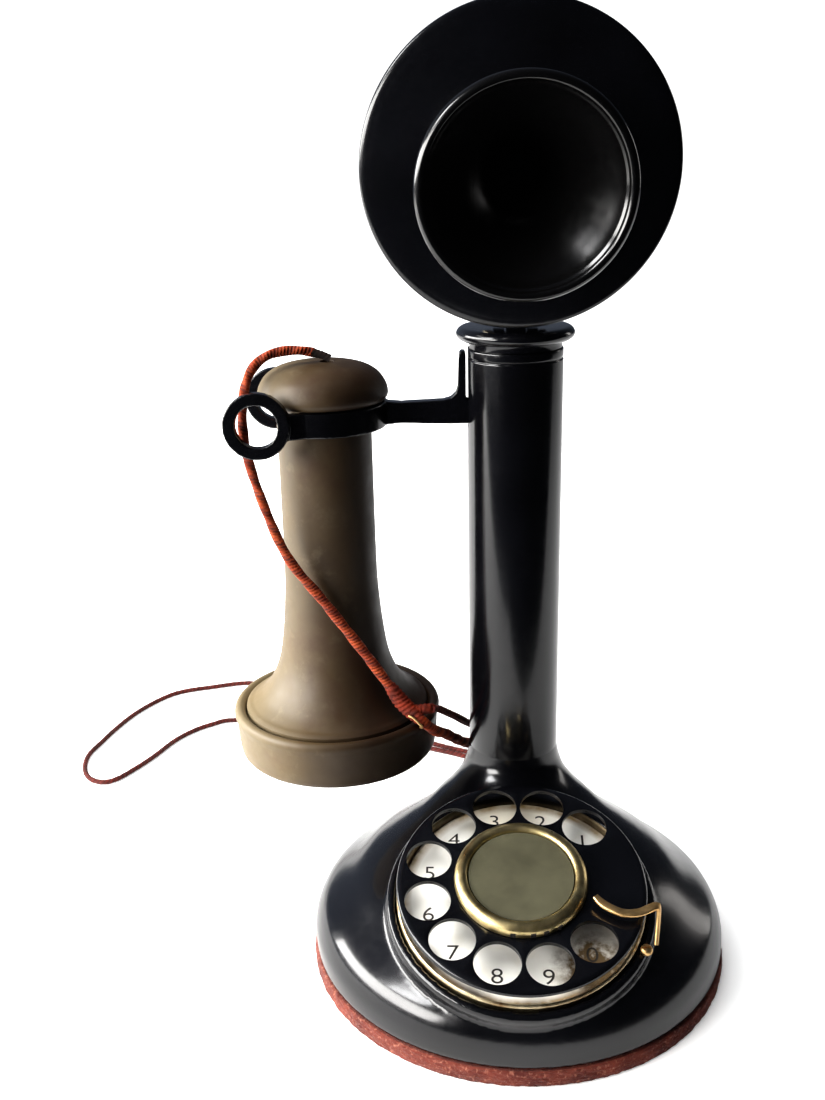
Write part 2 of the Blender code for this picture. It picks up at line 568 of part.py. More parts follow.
CORD_ROUTE = [
    (-57.8, 29.0, 193.8), (-60.4, 28.6, 195.0), (-63.4, 28.0, 196.0), (-66.3, 27.0, 196.7),
    (-69.8, 26.0, 197.0), (-73.3, 24.5, 196.8), (-76.5, 23.0, 196.0), (-79.2, 21.5, 194.4),
    (-81.3, 19.5, 192.0), (-82.5, 17.5, 189.2), (-83.3, 16.0, 186.0), (-84.0, 14.2, 178.5),
    (-83.9, 13.6, 174.5), (-82.9, 12.6, 166.3), (-78.5, 11.0, 151.2), (-71.7, 10.6, 133.9),
    (-60.6, 11.4, 118.0), (-47.8, 11.4, 99.5), (-36.8, 10.4, 83.5), (-30.8, 8.2, 78.4),
    (-26.6, 12.4, 72.6), (-23.6, 19.6, 67.8), (-20.1, 29.0, 60.9), (-16.8, 38.0, 54.6),
    (-12.8, 47.5, 48.8), (-9.9, 58.0, 41.5), (-8.8, 68.0, 32.5), (-9.4, 77.0, 22.5),
    (-10.6, 79.4, 15.8), (-11.6, 76.4, 11.6), (-12.0, 71.6, 10.6), (-12.0, 68.6, 10.6),
]

LEAD_ROUTES = [
    [
        (-29.4, 11.4, 81.2), (-27.2, 15.4, 79.6), (-24.9, 20.0, 76.2), (-20.4, 30.0, 68.8),
        (-16.6, 40.0, 61.4), (-10.0, 52.0, 52.0), (-2.0, 66.0, 39.0), (6.0, 82.0, 23.0),
        (12.0, 98.0, 8.5), (12.6, 110.0, 2.2), (4.0, 119.0, 1.1), (-14.0, 128.4, 1.1),
        (-31.9, 137.4, 1.1), (-60.0, 155.0, 1.1), (-88.0, 179.0, 1.1), (-106.0, 193.6, 1.1),
        (-124.1, 200.8, 1.1), (-142.5, 196.3, 1.1), (-157.4, 190.6, 1.1), (-166.1, 181.7, 1.1),
        (-173.9, 167.7, 1.1), (-179.1, 152.3, 1.1), (-182.3, 138.6, 1.1), (-184.7, 126.4, 1.1),
        (-183.0, 114.7, 1.1), (-178.4, 106.0, 1.1), (-171.7, 102.6, 1.1), (-166.0, 105.6, 1.1),
        (-159.5, 116.0, 1.1), (-154.4, 126.4, 1.1), (-149.1, 139.4, 1.1), (-142.7, 149.0, 1.1),
        (-134.8, 156.0, 1.1), (-124.9, 160.3, 1.1), (-95.0, 157.0, 1.1), (-62.0, 145.0, 1.1),
        (-31.9, 132.4, 1.1), (-14.0, 123.6, 1.1), (-1.0, 113.0, 1.1), (5.6, 99.0, 1.8),
        (8.4, 85.0, 5.2), (8.9, 76.0, 9.2), (8.9, 68.6, 10.6),
    ],
    [
        (-27.4, 10.6, 81.2), (-25.2, 14.6, 79.6), (-22.9, 19.2, 76.2), (-18.4, 29.2, 68.8),
        (-14.4, 39.4, 61.2), (-5.6, 52.0, 50.8), (2.4, 64.0, 39.0), (8.6, 74.0, 26.0),
        (10.8, 78.6, 17.6), (11.1, 76.6, 12.8), (11.1, 72.6, 10.8), (11.1, 68.6, 10.6),
    ],
]
TIE_PLACE = 19


def make_cords(finishes):
    """The receiver's braided cord, the clip on it, and the two thin leads bound to it there."""
    pipe("receiver_cord", CORD_ROUTE, CORD_RADIUS, finishes["braid"], spacing=7.5)
    for number, route in enumerate(LEAD_ROUTES, 1):
        pipe(f"cord_lead_{number}", route, LEAD_RADIUS, finishes["braid"], spacing=5.7)
    before, place, after = (Vector(point) for point in CORD_ROUTE[TIE_PLACE - 1:TIE_PLACE + 2])
    along = (after - before).to_track_quat("Z", "Y").to_euler()
    clip = turned([(2.15, 0.8), (2.5, 0.7), (2.65, 0), (2.5, -0.7), (2.15, -0.8)], 16)
    add("cord_clip", clip, finishes["brass"], None, place, along)


def main():
    clear_scene()
    finishes = {
        "enamel": material("black_enamel", (0.012, 0.012, 0.014), 0.16),
        "ebonite": material("black_ebonite", (0.015, 0.014, 0.014), 0.22),
        "ebonite_brown": material("brown_ebonite", (0.17, 0.14, 0.095), 0.48),
        "brass": material("aged_brass", (0.72, 0.52, 0.22), 0.30, 1.0),
        "nickel": material("worn_nickel", (0.62, 0.58, 0.48), 0.32, 1.0),
        "steel": material("steel", (0.45, 0.45, 0.46), 0.4, 1.0),
        "copper": material("copper_winding", (0.62, 0.26, 0.12), 0.4, 1.0),
        "plate": material("white_enamel_plate", (0.85, 0.83, 0.74), 0.25),
        "card": material("grey_card", (0.36, 0.35, 0.27), 0.8),
        "celluloid": material("celluloid", (0.55, 0.53, 0.42), 0.3),
        "rubber": material("black_rubber", (0.02, 0.02, 0.02), 0.7),
        "felt": material("red_felt", (0.36, 0.10, 0.06), 0.95),
        "braid": material("rust_braid", (0.42, 0.10, 0.03), 0.85),
    }
    make_base(finishes)
    make_stem(finishes)
    make_switch(finishes)
    make_hook(finishes)
    make_dial(finishes)
    make_transmitter(finishes)
    make_receiver(finishes)
    make_cords(finishes)


main()
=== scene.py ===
"""The looks of a candlestick telephone with a rotary dial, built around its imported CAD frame."""

import json
import math
import random

import bmesh
import bpy
from mathutils import Matrix, Vector


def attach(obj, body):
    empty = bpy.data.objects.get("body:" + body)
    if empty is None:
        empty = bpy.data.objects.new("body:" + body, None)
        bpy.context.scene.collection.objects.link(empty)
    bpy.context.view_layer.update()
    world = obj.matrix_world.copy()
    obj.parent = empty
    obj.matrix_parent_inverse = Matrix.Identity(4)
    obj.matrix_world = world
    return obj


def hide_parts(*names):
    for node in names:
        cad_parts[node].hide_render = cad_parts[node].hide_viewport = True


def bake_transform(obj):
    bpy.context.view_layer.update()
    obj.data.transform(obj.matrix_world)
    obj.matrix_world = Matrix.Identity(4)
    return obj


# Places and sizes of the CAD, in millimetres and degrees unless named otherwise

MM = 0.001
STEM_Y = 30.0
DIAL_CENTRE = (0.0, -30.2, 43.7)
DIAL_TILT = math.radians(19.5)
PIVOT = (0.0, STEM_Y, 209.5)
FACE_CENTRE = (0.0, 6.1, 249.3)
FACE_TURN = math.radians(96.06)
RECEIVER = (-60.7, STEM_Y, 0.0)
HOLE_CIRCLE, HOLE_RADIUS = 29.2, 7.0
FIRST_HOLE, HOLE_STEP = 44.4, 30.0
PLATE_TOP = -8.8
CORD_HOLE_RADIUS = 2.3
PIVOT_BORE = 2.2
HOOK_PIN = (2.0, 176.5)
HOOK_RINGS = (9.0, 51.0)
BUSH_XS = {"cord_bush": -12.0, "lead_bush": 10.0}
BASE_VOXEL, HOOK_VOXEL = 0.76, 0.36
FELT_FIBRES, QUICK_FELT_FIBRES, TIE_FIBRES = 5200, 600, 70
FLOOR_Z = -0.01

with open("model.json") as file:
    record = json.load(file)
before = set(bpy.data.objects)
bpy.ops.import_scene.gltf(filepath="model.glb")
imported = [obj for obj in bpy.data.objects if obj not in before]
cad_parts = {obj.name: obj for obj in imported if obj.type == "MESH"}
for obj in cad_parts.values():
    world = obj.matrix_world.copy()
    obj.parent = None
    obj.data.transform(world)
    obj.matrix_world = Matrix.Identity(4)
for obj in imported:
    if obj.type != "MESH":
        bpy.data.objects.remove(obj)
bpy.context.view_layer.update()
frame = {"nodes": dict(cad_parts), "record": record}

DIAL = Matrix.Translation(DIAL_CENTRE) @ Matrix.Rotation(DIAL_TILT, 4, "X")
FACE = Matrix.Translation(FACE_CENTRE) @ Matrix.Rotation(FACE_TURN, 4, "X")
TILT = Matrix.Translation(PIVOT) @ Matrix.Rotation(FACE_TURN, 4, "X")
HUNG = Matrix.Translation(RECEIVER)
STEM = Matrix.Translation((0, STEM_Y, 0))
CORD_HOLE = HUNG @ Matrix.Translation((1.8, -1.0, 0))


# Materials

class Graph:
    """A material's node tree, with short ways to add what these finishes use."""

    def __init__(self, name):
        self.made = bpy.data.materials.new(name)
        self.made.use_nodes = True
        self.nodes = self.made.node_tree.nodes
        self.links = self.made.node_tree.links
        self.shader = self.nodes["Principled BSDF"]
        self.place = self.nodes.new("ShaderNodeTexCoord").outputs["Object"]

    def add(self, kind, **inputs):
        node = self.nodes.new(kind)
        for name, value in inputs.items():
            self.feed(node, name.replace("_", " "), value)
        return node

    def feed(self, node, name, value):
        if hasattr(value, "is_linked"):
            self.links.new(value, node.inputs[name])
        else:
            node.inputs[name].default_value = value

    def set(self, name, value):
        self.feed(self.shader, name, value)

    def noise(self, scale, detail=4.0, rough=0.55, vector=None):
        node = self.add("ShaderNodeTexNoise", Scale=scale, Detail=detail, Roughness=rough)
        self.links.new(vector or self.place, node.inputs["Vector"])
        return node.outputs["Fac"]

    def ramp(self, value, low, high, start=0.0, end=1.0):
        node = self.add("ShaderNodeMapRange")
        self.links.new(value, node.inputs["Value"])
        node.inputs["From Min"].default_value = low
        node.inputs["From Max"].default_value = high
        node.inputs["To Min"].default_value = start
        node.inputs["To Max"].default_value = end
        return node.outputs["Result"]

    def mix(self, amount, a, b):
        node = self.nodes.new("ShaderNodeMix")
        node.data_type = "RGBA"
        self.feed_at(node, 0, amount)
        self.feed_at(node, 6, a)
        self.feed_at(node, 7, b)
        return node.outputs[2]

    def feed_at(self, node, index, value):
        if hasattr(value, "is_linked"):
            self.links.new(value, node.inputs[index])
        elif isinstance(value, tuple):
            node.inputs[index].default_value = (*value, 1.0)
        else:
            node.inputs[index].default_value = value

    def math(self, kind, a, b=0.0):
        node = self.nodes.new("ShaderNodeMath")
        node.operation = kind
        self.feed_at(node, 0, a)
        self.feed_at(node, 1, b)
        return node.outputs[0]

    def bump(self, height, strength, distance):
        node = self.add("ShaderNodeBump", Strength=strength, Distance=distance)
        self.links.new(height, node.inputs["Height"])
        self.links.new(node.outputs["Normal"], self.shader.inputs["Normal"])

    def axis(self, name):
        node = self.nodes.new("ShaderNodeSeparateXYZ")
        self.links.new(self.place, node.inputs[0])
        return node.outputs[name]

    def near(self, point, inner, outer):
        """One inside a distance of a point, both in mm, falling to zero further out."""
        node = self.nodes.new("ShaderNodeVectorMath")
        node.operation = "DISTANCE"
        self.links.new(self.place, node.inputs[0])
        node.inputs[1].default_value = [c * MM for c in point]
        return self.ramp(node.outputs["Value"], inner * MM, outer * MM, 1.0, 0.0)


def enamel(name, low, high, rough, chips=0.0):
    """Glossy dark finish with faint smears and, if asked, worn specks."""
    g = Graph(name)
    colour = g.mix(g.ramp(g.noise(28, 5), 0.35, 0.7), low, high)
    smear = g.ramp(g.noise(9, 6, 0.62), 0.4, 0.7, rough, rough + 0.09)
    fine = g.ramp(g.noise(420, 3), 0.4, 0.8, 0, 0.05)
    g.set("Roughness", g.math("ADD", smear, fine))
    g.set("Coat Weight", 0.12)
    g.set("Coat Roughness", 0.06)
    g.bump(g.noise(70, 3), 0.05, 0.0006)
    if chips:
        speck = g.ramp(g.noise(160, 8, 0.7), 0.715, 0.73, 0.0, chips)
        colour = g.mix(speck, colour, (0.16, 0.15, 0.14))
    g.set("Base Color", colour)
    return g.made


def weathered_ebonite():
    """Hard rubber that has turned olive brown, with painted light on the side away from the stem
    and painted shade on the side towards it.
    """
    g = Graph("brown_ebonite")
    wide = g.noise(24, 5, 0.6)
    small = g.noise(150, 5, 0.65)
    base = g.mix(g.ramp(wide, 0.38, 0.66), (0.050, 0.031, 0.013), (0.140, 0.095, 0.042))
    red = g.mix(g.ramp(g.noise(46, 6, 0.7), 0.52, 0.74, 0.0, 0.6), base, (0.058, 0.020, 0.009))
    pale = g.mix(g.ramp(small, 0.56, 0.78, 0.0, 0.45), red, (0.215, 0.172, 0.105))
    across = g.math("ADD", g.axis("X"), g.ramp(wide, 0.3, 0.7, -0.006, 0.006))
    # painted shade: darker towards the side that faces the stem
    shade = g.mix(g.ramp(across, -0.076, -0.047, 0.0, 0.93), pale, (0.020, 0.010, 0.005))
    # painted light: lighter on the side away from the stem
    painted_light_side = g.ramp(across, -0.098, -0.066, 0.55, 0.0)
    g.set("Base Color", g.mix(painted_light_side, shade, (0.33, 0.27, 0.165)))
    g.set("Roughness", g.ramp(small, 0.3, 0.75, 0.42, 0.6))
    g.set("Specular IOR Level", 0.4)
    g.bump(g.noise(300, 6, 0.6), 0.12, 0.0003)
    return g.made


def metal(name, bright, dull, rough, patches=60, tarnish=0.5):
    g = Graph(name)
    blotch = g.ramp(g.noise(patches, 7, 0.62), 0.42, 0.68, 0.0, tarnish)
    g.set("Base Color", g.mix(blotch, bright, dull))
    g.set("Metallic", 1.0)
    g.set("Roughness", g.ramp(g.noise(260, 4), 0.3, 0.75, rough, rough + 0.16))
    g.bump(g.noise(500, 4), 0.08, 0.0002)
    return g.made


def plain(name, low, high, rough, scale=120, bump=0.1, metallic=0.0):
    g = Graph(name)
    g.set("Base Color", g.mix(g.ramp(g.noise(scale, 5), 0.35, 0.68), low, high))
    g.set("Roughness", g.ramp(g.noise(scale * 2, 3), 0.3, 0.7, rough, rough + 0.1))
    g.set("Metallic", metallic)
    g.bump(g.noise(scale * 3, 4), bump, 0.0002)
    return g.made


def dial_white():
    """White enamel, browned by wear around the last two figures."""
    g = Graph("white_enamel_plate")
    worn = g.near((21, -24, PLATE_TOP), 3.5, 17)
    ragged = g.ramp(g.noise(230, 7, 0.7), 0.3, 0.62, 0.55, 1.5)
    patch = g.ramp(g.math("MULTIPLY", worn, ragged), 0.25, 0.95)
    top = g.near((-2, 36, PLATE_TOP), 6, 22)
    cream = g.mix(g.math("MULTIPLY", top, 0.55), (0.86, 0.84, 0.78), (0.62, 0.54, 0.38))
    aged = g.mix(g.ramp(g.noise(130, 6), 0.5, 0.8, 0.0, 0.35), cream, (0.66, 0.58, 0.42))
    inside = g.near((0, 0, PLATE_TOP), 33.4, 35.6)
    outside = g.math("SUBTRACT", 1.0, inside)
    margin = g.math("MULTIPLY", outside, g.ramp(g.noise(170, 6), 0.35, 0.6, 0.5, 0.95))
    rimmed = g.mix(margin, aged, (0.27, 0.185, 0.085))
    g.set("Base Color", g.mix(patch, rimmed, (0.105, 0.068, 0.03)))
    g.set("Roughness", g.ramp(patch, 0.0, 1.0, 0.22, 0.6))
    g.bump(g.noise(260, 5), 0.06, 0.0003)
    return g.made


def braid(name, light, dark, lay, yarns, sheen=0.3):
    """Cloth sleeve of twisted yarns, read from the tube's own UV map.

    lay is one turn's length in metres."""
    g = Graph(name)
    uv = g.nodes.new("ShaderNodeTexCoord").outputs["UV"]
    split = g.nodes.new("ShaderNodeSeparateXYZ")
    g.links.new(uv, split.inputs[0])
    along = g.math("MULTIPLY", split.outputs["X"], math.tau / lay)
    turn = g.math("MULTIPLY", split.outputs["Y"], math.tau)
    twist = g.math("ADD", along, turn)
    strand = g.math("SINE", g.math("MULTIPLY", twist, 2.0))
    steep = g.math("ADD", g.math("MULTIPLY", along, 5.0), turn)
    thread = g.math("SINE", g.math("MULTIPLY", steep, yarns))
    weave = g.math("ADD", g.math("MULTIPLY", strand, 0.65), g.math("MULTIPLY", thread, 0.35))
    soil = g.noise(150, 6, 0.65)
    yarn = g.mix(g.ramp(soil, 0.36, 0.66), light, dark)
    # painted shade: the troughs between the twisted strands are darkened to half the dark yarn
    # colour
    twist_trough_shade = tuple(c * 0.5 for c in dark)
    g.set("Base Color", g.mix(g.ramp(weave, -0.95, 0.15), twist_trough_shade, yarn))
    g.set("Roughness", g.ramp(soil, 0.3, 0.7, 0.78, 0.95))
    g.set("Sheen Weight", sheen)
    g.set("Sheen Roughness", 0.5)
    g.bump(weave, 0.7, 0.0004)
    return g.made


def felt():
    g = Graph("red_felt")
    wide = g.ramp(g.noise(90, 5), 0.36, 0.66)
    body = g.mix(wide, (0.10, 0.014, 0.008), (0.23, 0.045, 0.024))
    g.set("Base Color", g.mix(g.ramp(g.noise(900, 3), 0.55, 0.75), body, (0.42, 0.17, 0.11)))
    g.set("Roughness", g.ramp(g.noise(700, 2), 0.3, 0.7, 0.9, 1.0))
    g.set("Sheen Weight", 0.15)
    g.bump(g.noise(1100, 5, 0.7), 0.8, 0.0006)
    return g.made


def bezel_metal():
    """Bare metal band, browned all over, with painted shade that turns it black round its upper
    half.
    """
    g = Graph("bezel_metal")
    blotch = g.ramp(g.noise(110, 7, 0.62), 0.38, 0.66, 0.1, 0.95)
    band = g.mix(blotch, (0.66, 0.57, 0.38), (0.20, 0.11, 0.045))
    # painted shade: black above a set height, round the band's upper half
    upper_half_shade = g.ramp(g.axis("Z"), 0.040, 0.049)
    g.set("Base Color", g.mix(upper_half_shade, band, (0.006, 0.005, 0.004)))
    g.set("Metallic", 1.0)
    g.set("Roughness", g.ramp(upper_half_shade, 0.0, 1.0, 0.33, 0.75))
    g.bump(g.noise(500, 4), 0.1, 0.0002)
    return g.made


def celluloid():
    g = Graph("celluloid")
    clouded = g.ramp(g.noise(90, 4), 0.3, 0.7)
    g.set("Base Color", g.mix(clouded, (0.22, 0.21, 0.13), (0.14, 0.13, 0.08)))
    g.set("Roughness", g.ramp(g.noise(200, 3), 0.3, 0.7, 0.16, 0.3))
    g.set("Alpha", 0.12)
    return g.made


BLACK = enamel("black_enamel", (0.0022, 0.0022, 0.003), (0.0048, 0.005, 0.0068), 0.15, chips=0.35)
HORN = enamel("black_ebonite", (0.0022, 0.0021, 0.0022), (0.0042, 0.004, 0.004), 0.13)
BROWN = weathered_ebonite()
BRASS = metal("aged_brass", (0.80, 0.65, 0.34), (0.34, 0.24, 0.10), 0.27, 150, 0.7)
GOLD = metal("stop_brass", (0.92, 0.62, 0.29), (0.46, 0.25, 0.09), 0.34, 200, 0.6)
NICKEL = metal("worn_nickel", (0.72, 0.66, 0.50), (0.20, 0.12, 0.05), 0.30, 110, 0.85)
STEEL = metal("steel", (0.45, 0.45, 0.46), (0.2, 0.19, 0.18), 0.34, 90, 0.5)
COPPER = metal("copper_winding", (0.62, 0.26, 0.12), (0.3, 0.1, 0.04), 0.4, 200, 0.4)
BEZEL = bezel_metal()
PLATE = dial_white()
INK = plain("dial_ink", (0.012, 0.01, 0.009), (0.04, 0.033, 0.027), 0.5, 300)
CARD = plain("grey_card", (0.055, 0.052, 0.030), (0.098, 0.092, 0.056), 0.62, 110, 0.05)
RUBBER = plain("black_rubber", (0.008, 0.008, 0.008), (0.018, 0.017, 0.016), 0.6)
TIP = plain("cord_tip", (0.008, 0.006, 0.006), (0.03, 0.016, 0.012), 0.7, 300, 0.4)
# painted shade on the diaphragm, near black to stand for the dark deep in the mouthpiece's throat;
# the carbon button is near black of its own
THROAT_SHADE_BLACK = plain("black_steel_and_throat_shade", (0.004, 0.004, 0.004), (0.012, 0.011, 0.011), 0.55, 120, 0.1, 0.4)
FELT = felt()
CORD = braid("rust_braid", (0.42, 0.064, 0.006), (0.20, 0.019, 0.003), 0.011, 2.0, sheen=0.06)
LEAD = braid("lead_braid", (0.175, 0.013, 0.004), (0.07, 0.006, 0.003), 0.004, 2.0, sheen=0.08)
TIE = plain("tie_thread", (0.24, 0.024, 0.004), (0.07, 0.007, 0.002), 0.85, 400, 0.8)
WINDOW = celluloid()

# The record's material slots and the finishes that fill them; the first one dresses the CAD.
FINISHES = {
    "black_enamel": (BLACK, INK),
    "black_ebonite": (HORN,),
    "brown_ebonite": (BROWN,),
    "aged_brass": (BRASS, GOLD),
    "worn_nickel": (NICKEL, BEZEL),
    "steel": (STEEL, THROAT_SHADE_BLACK),
    "copper_winding": (COPPER,),
    "white_enamel_plate": (PLATE,),
    "grey_card": (CARD,),
    "celluloid": (WINDOW,),
    "black_rubber": (RUBBER,),
    "red_felt": (FELT,),
    "rust_braid": (CORD, LEAD, TIE, TIP),
}


# Shapes, in millimetres, each moved into place and scaled to metres

def keep(name, bm, finish, body, place=Matrix(), sharp=32.0, replaces=()):
    """Turn a bmesh in mm into an object that rides on a body."""
    bm.transform(place)
    bmesh.ops.scale(bm, vec=(MM, MM, MM), verts=bm.verts)
    bmesh.ops.recalc_face_normals(bm, faces=bm.faces)
    mesh = bpy.data.meshes.new(name)
    bm.to_mesh(mesh)
    bm.free()
    mesh.materials.append(finish)
    mesh.shade_smooth()
    mesh.set_sharp_from_angle(angle=math.radians(sharp))
    made = bpy.data.objects.new(name, mesh)
    bpy.context.scene.collection.objects.link(made)
    if body:
        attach(made, body)
    if replaces:
        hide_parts(*replaces)
    return made


def in_metres(place):
    """The same matrix with its move in metres."""
    moved = place.copy()
    moved.translation = moved.translation * MM
    return moved


def baked(obj):
    """Replace an object's mesh with its modified one, and drop the helpers it used."""
    helpers = [m.object for m in obj.modifiers if m.type == "BOOLEAN"]
    bpy.context.view_layer.update()
    graph = bpy.context.evaluated_depsgraph_get()
    mesh = bpy.data.meshes.new_from_object(obj.evaluated_get(graph))
    obj.modifiers.clear()
    obj.data = mesh
    for helper in set(helpers):
        bpy.data.objects.remove(helper)
    return obj


def cutter(obj, bm, operation, place=Matrix()):
    """Queue a Boolean with a hidden helper; baked applies it and removes the helper."""
    helper = keep(f"{obj.name}_helper", bm, BLACK, None, place)
    helper.hide_render = True
    step = obj.modifiers.new("shape", "BOOLEAN")
    step.operation = operation
    step.object = helper


def softened(obj, voxel, rounds):
    """Round every edge a little by remeshing and smoothing."""
    remesh = obj.modifiers.new("remesh", "REMESH")
    remesh.mode = "VOXEL"
    remesh.voxel_size = voxel * MM
    smooth = obj.modifiers.new("smooth", "SMOOTH")
    smooth.factor = 0.5
    smooth.iterations = rounds
    return baked(obj)


def shaded(obj, angle=60.0):
    obj.data.shade_smooth()
    obj.data.set_sharp_from_angle(angle=math.radians(angle))
    return obj


def rounded(points, radius=0.4, steps=4):
    """A closed profile with its corners rounded; a point may carry its own radius."""
    corners = [Vector(p[:2]) for p in points]
    radii = [p[2] if len(p) > 2 else radius for p in points]
    found = []
    for index, corner in enumerate(corners):
        before = corners[index - 1] - corner
        after = corners[(index + 1) % len(corners)] - corner
        size = min(radii[index], before.length * 0.45, after.length * 0.45)
        if size < 0.02 or corner.x < 0.01:
            found.append(tuple(corner))
            continue
        a = corner + before.normalized() * size
        b = corner + after.normalized() * size
        for step in range(steps + 1):
            t = step / steps
            point = a * (1 - t) ** 2 + corner * 2 * t * (1 - t) + b * t**2
            found.append(tuple(point))
    return found


def curved(points, steps=5):
    """Points on a Catmull-Rom curve through an open run of 2-D or 3-D points."""
    route = [Vector(p) for p in points]
    ends = [route[0] * 2 - route[1]] + route + [route[-1] * 2 - route[-2]]
    found = []
    for a, b, c, d in zip(ends, ends[1:], ends[2:], ends[3:]):
        for step in range(steps):
            t = step / steps
            found.append(0.5 * (b * 2 + (c - a) * t + (a * 2 - b * 5 + c * 4 - d) * t**2
                                + (b * 3 - a - c * 3 + d) * t**3))
    found.append(route[-1])
    return found


def turned(profile, segments=128):
    """A closed profile of (radius, height) points spun about Z."""
    bm = bmesh.new()
    points = [bm.verts.new((max(p[0], 0.0), 0, p[1])) for p in profile]
    pairs = zip(points, points[1:] + points[:1])
    edges = [bm.edges.new(pair) for pair in pairs if pair[0].co.x > 1e-6 or pair[1].co.x > 1e-6]
    bmesh.ops.spin(bm, geom=points + edges, axis=(0, 0, 1), cent=(0, 0, 0), steps=segments,
                   angle=math.tau, use_merge=True)
    bmesh.ops.remove_doubles(bm, verts=bm.verts, dist=1e-4)
    bmesh.ops.dissolve_degenerate(bm, edges=bm.edges, dist=1e-5)
    return bm


def rod(radius, low, high, segments=48):
    return turned([(0, high), (radius, high), (radius, low), (0, low)], segments)


def slab(outline, low, high):
    """A flat outline raised from one height to another."""
    bm = bmesh.new()
    face = bm.faces.new([bm.verts.new((x, y, low)) for x, y in outline])
    raised = bmesh.ops.extrude_face_region(bm, geom=[face])["geom"]
    verts = [item for item in raised if isinstance(item, bmesh.types.BMVert)]
    bmesh.ops.translate(bm, vec=(0, 0, high - low), verts=verts)
    return bm


def box(low, high):
    outline = [(low[0], low[1]), (high[0], low[1]), (high[0], high[1]), (low[0], high[1])]
    return slab(outline, low[2], high[2])


def arc(centre, radius, start, end, steps):
    found = []
    for step in range(steps + 1):
        angle = math.radians(start + (end - start) * step / steps)
        found.append((centre[0] + radius * math.cos(angle), centre[1] + radius * math.sin(angle)))
    return found


def bevelled(obj, width, segments=3, angle=40.0):
    step = obj.modifiers.new("bevel", "BEVEL")
    step.width = width * MM
    step.segments = segments
    step.limit_method = "ANGLE"
    step.angle_limit = math.radians(angle)
    return shaded(baked(obj), 40)


def lying_x(degrees=90.0):
    return Matrix.Rotation(math.radians(degrees), 4, "X")


def lying_y(degrees=90.0):
    return Matrix.Rotation(math.radians(degrees), 4, "Y")


def swept(name, route, section, finish, step=0.35, bulge=0.0, twists=0.0):
    """A tube along a smooth route in mm, with UVs of metres along and turns around it.

    It gives back the object, its middle line in metres and its length in metres.

    section gives the radius at a share of the length. bulge raises two yarns on it, which
    make one turn in twists mm."""
    fine = curved(route, 24)
    lengths = [0.0]
    for a, b in zip(fine, fine[1:]):
        lengths.append(lengths[-1] + (b - a).length)
    count = max(8, int(lengths[-1] / step))
    rows, index = [], 0
    for k in range(count + 1):
        along = lengths[-1] * k / count
        while index < len(fine) - 2 and lengths[index + 1] < along:
            index += 1
        share = (along - lengths[index]) / max(lengths[index + 1] - lengths[index], 1e-9)
        rows.append(fine[index].lerp(fine[index + 1], share))
    around = 16
    bm = bmesh.new()
    uv = bm.loops.layers.uv.new("UVMap")
    side = (rows[1] - rows[0]).orthogonal().normalized()
    rings = []
    for k, centre in enumerate(rows):
        ahead = rows[min(k + 1, count)] - rows[max(k - 1, 0)]
        ahead.normalize()
        side = (side - ahead * side.dot(ahead)).normalized()
        up = ahead.cross(side)
        along = lengths[-1] * k / count
        ring = []
        for a in range(around):
            angle = math.tau * a / around
            radius = section(k / count)
            if bulge:
                wave = math.sin(along * math.tau / twists + angle * 2)
                radius += bulge * wave
            out = side * math.cos(angle) + up * math.sin(angle)
            ring.append(bm.verts.new(centre + out * radius))
        rings.append((ring, along))
    for (low, start), (high, end) in zip(rings, rings[1:]):
        for a in range(around):
            b = (a + 1) % around
            face = bm.faces.new((low[a], low[b], high[b], high[a]))
            marks = ((start, a), (start, a + 1), (end, a + 1), (end, a))
            for loop, (along, turn) in zip(face.loops, marks):
                loop[uv].uv = (along * MM, turn / around)
    bm.faces.new(list(reversed(rings[0][0])))
    bm.faces.new(rings[-1][0])
    made = keep(name, bm, finish, None, sharp=75)
    return made, [tuple(p * MM) for p in rows[::3] + [rows[-1]]], lengths[-1] * MM


# Base

def base_sections(shrink=0.0, drop=0.0):
    """The base's level sections, as (height, middle y, radius), on one smooth curve."""
    sections = [
        (5.3, 0.0, 66.6), (7.0, 0.0, 67.1), (12.0, 0.0, 67.1), (15.4, 0.0, 66.2),
        (18.0, 0.1, 64.9), (20.5, 0.3, 62.8), (25.6, 0.9, 56.2), (30.8, 2.2, 49.8),
        (34.5, 4.0, 43.8), (37.5, 6.9, 38.2), (40.2, 11.0, 32.8), (43.2, 17.5, 27.2),
        (46.6, 23.0, 21.8), (50.5, 27.2, 17.9),
        (54.5, 29.6, 16.1), (58.5, STEM_Y, 15.25), (62.0, STEM_Y, 14.7),
    ]
    smooth = curved(sections, 5)
    return [(p[0] - drop, p[1], p[2] - shrink) for p in smooth]


def stacked(sections, segments=160):
    """A closed shape through level circles."""
    bm = bmesh.new()
    rings = []
    for height, middle, radius in sections:
        place = Matrix.Translation((0, middle, height))
        ring = bmesh.ops.create_circle(bm, segments=segments, radius=radius, matrix=place)
        rings.append(ring["verts"])
    for low, high in zip(rings, rings[1:]):
        for a, b, c, d in zip(low, low[1:] + low[:1], high[1:] + high[:1], high):
            bm.faces.new((a, b, c, d))
    bm.faces.new(rings[0])
    bm.faces.new(rings[-1])
    return bm


def bush_place(name):
    """A bush's hole in the back of the base, with Z pointing out of it."""
    return Matrix.Translation((BUSH_XS[name], 66.8, 10.6)) @ lying_x(-90)


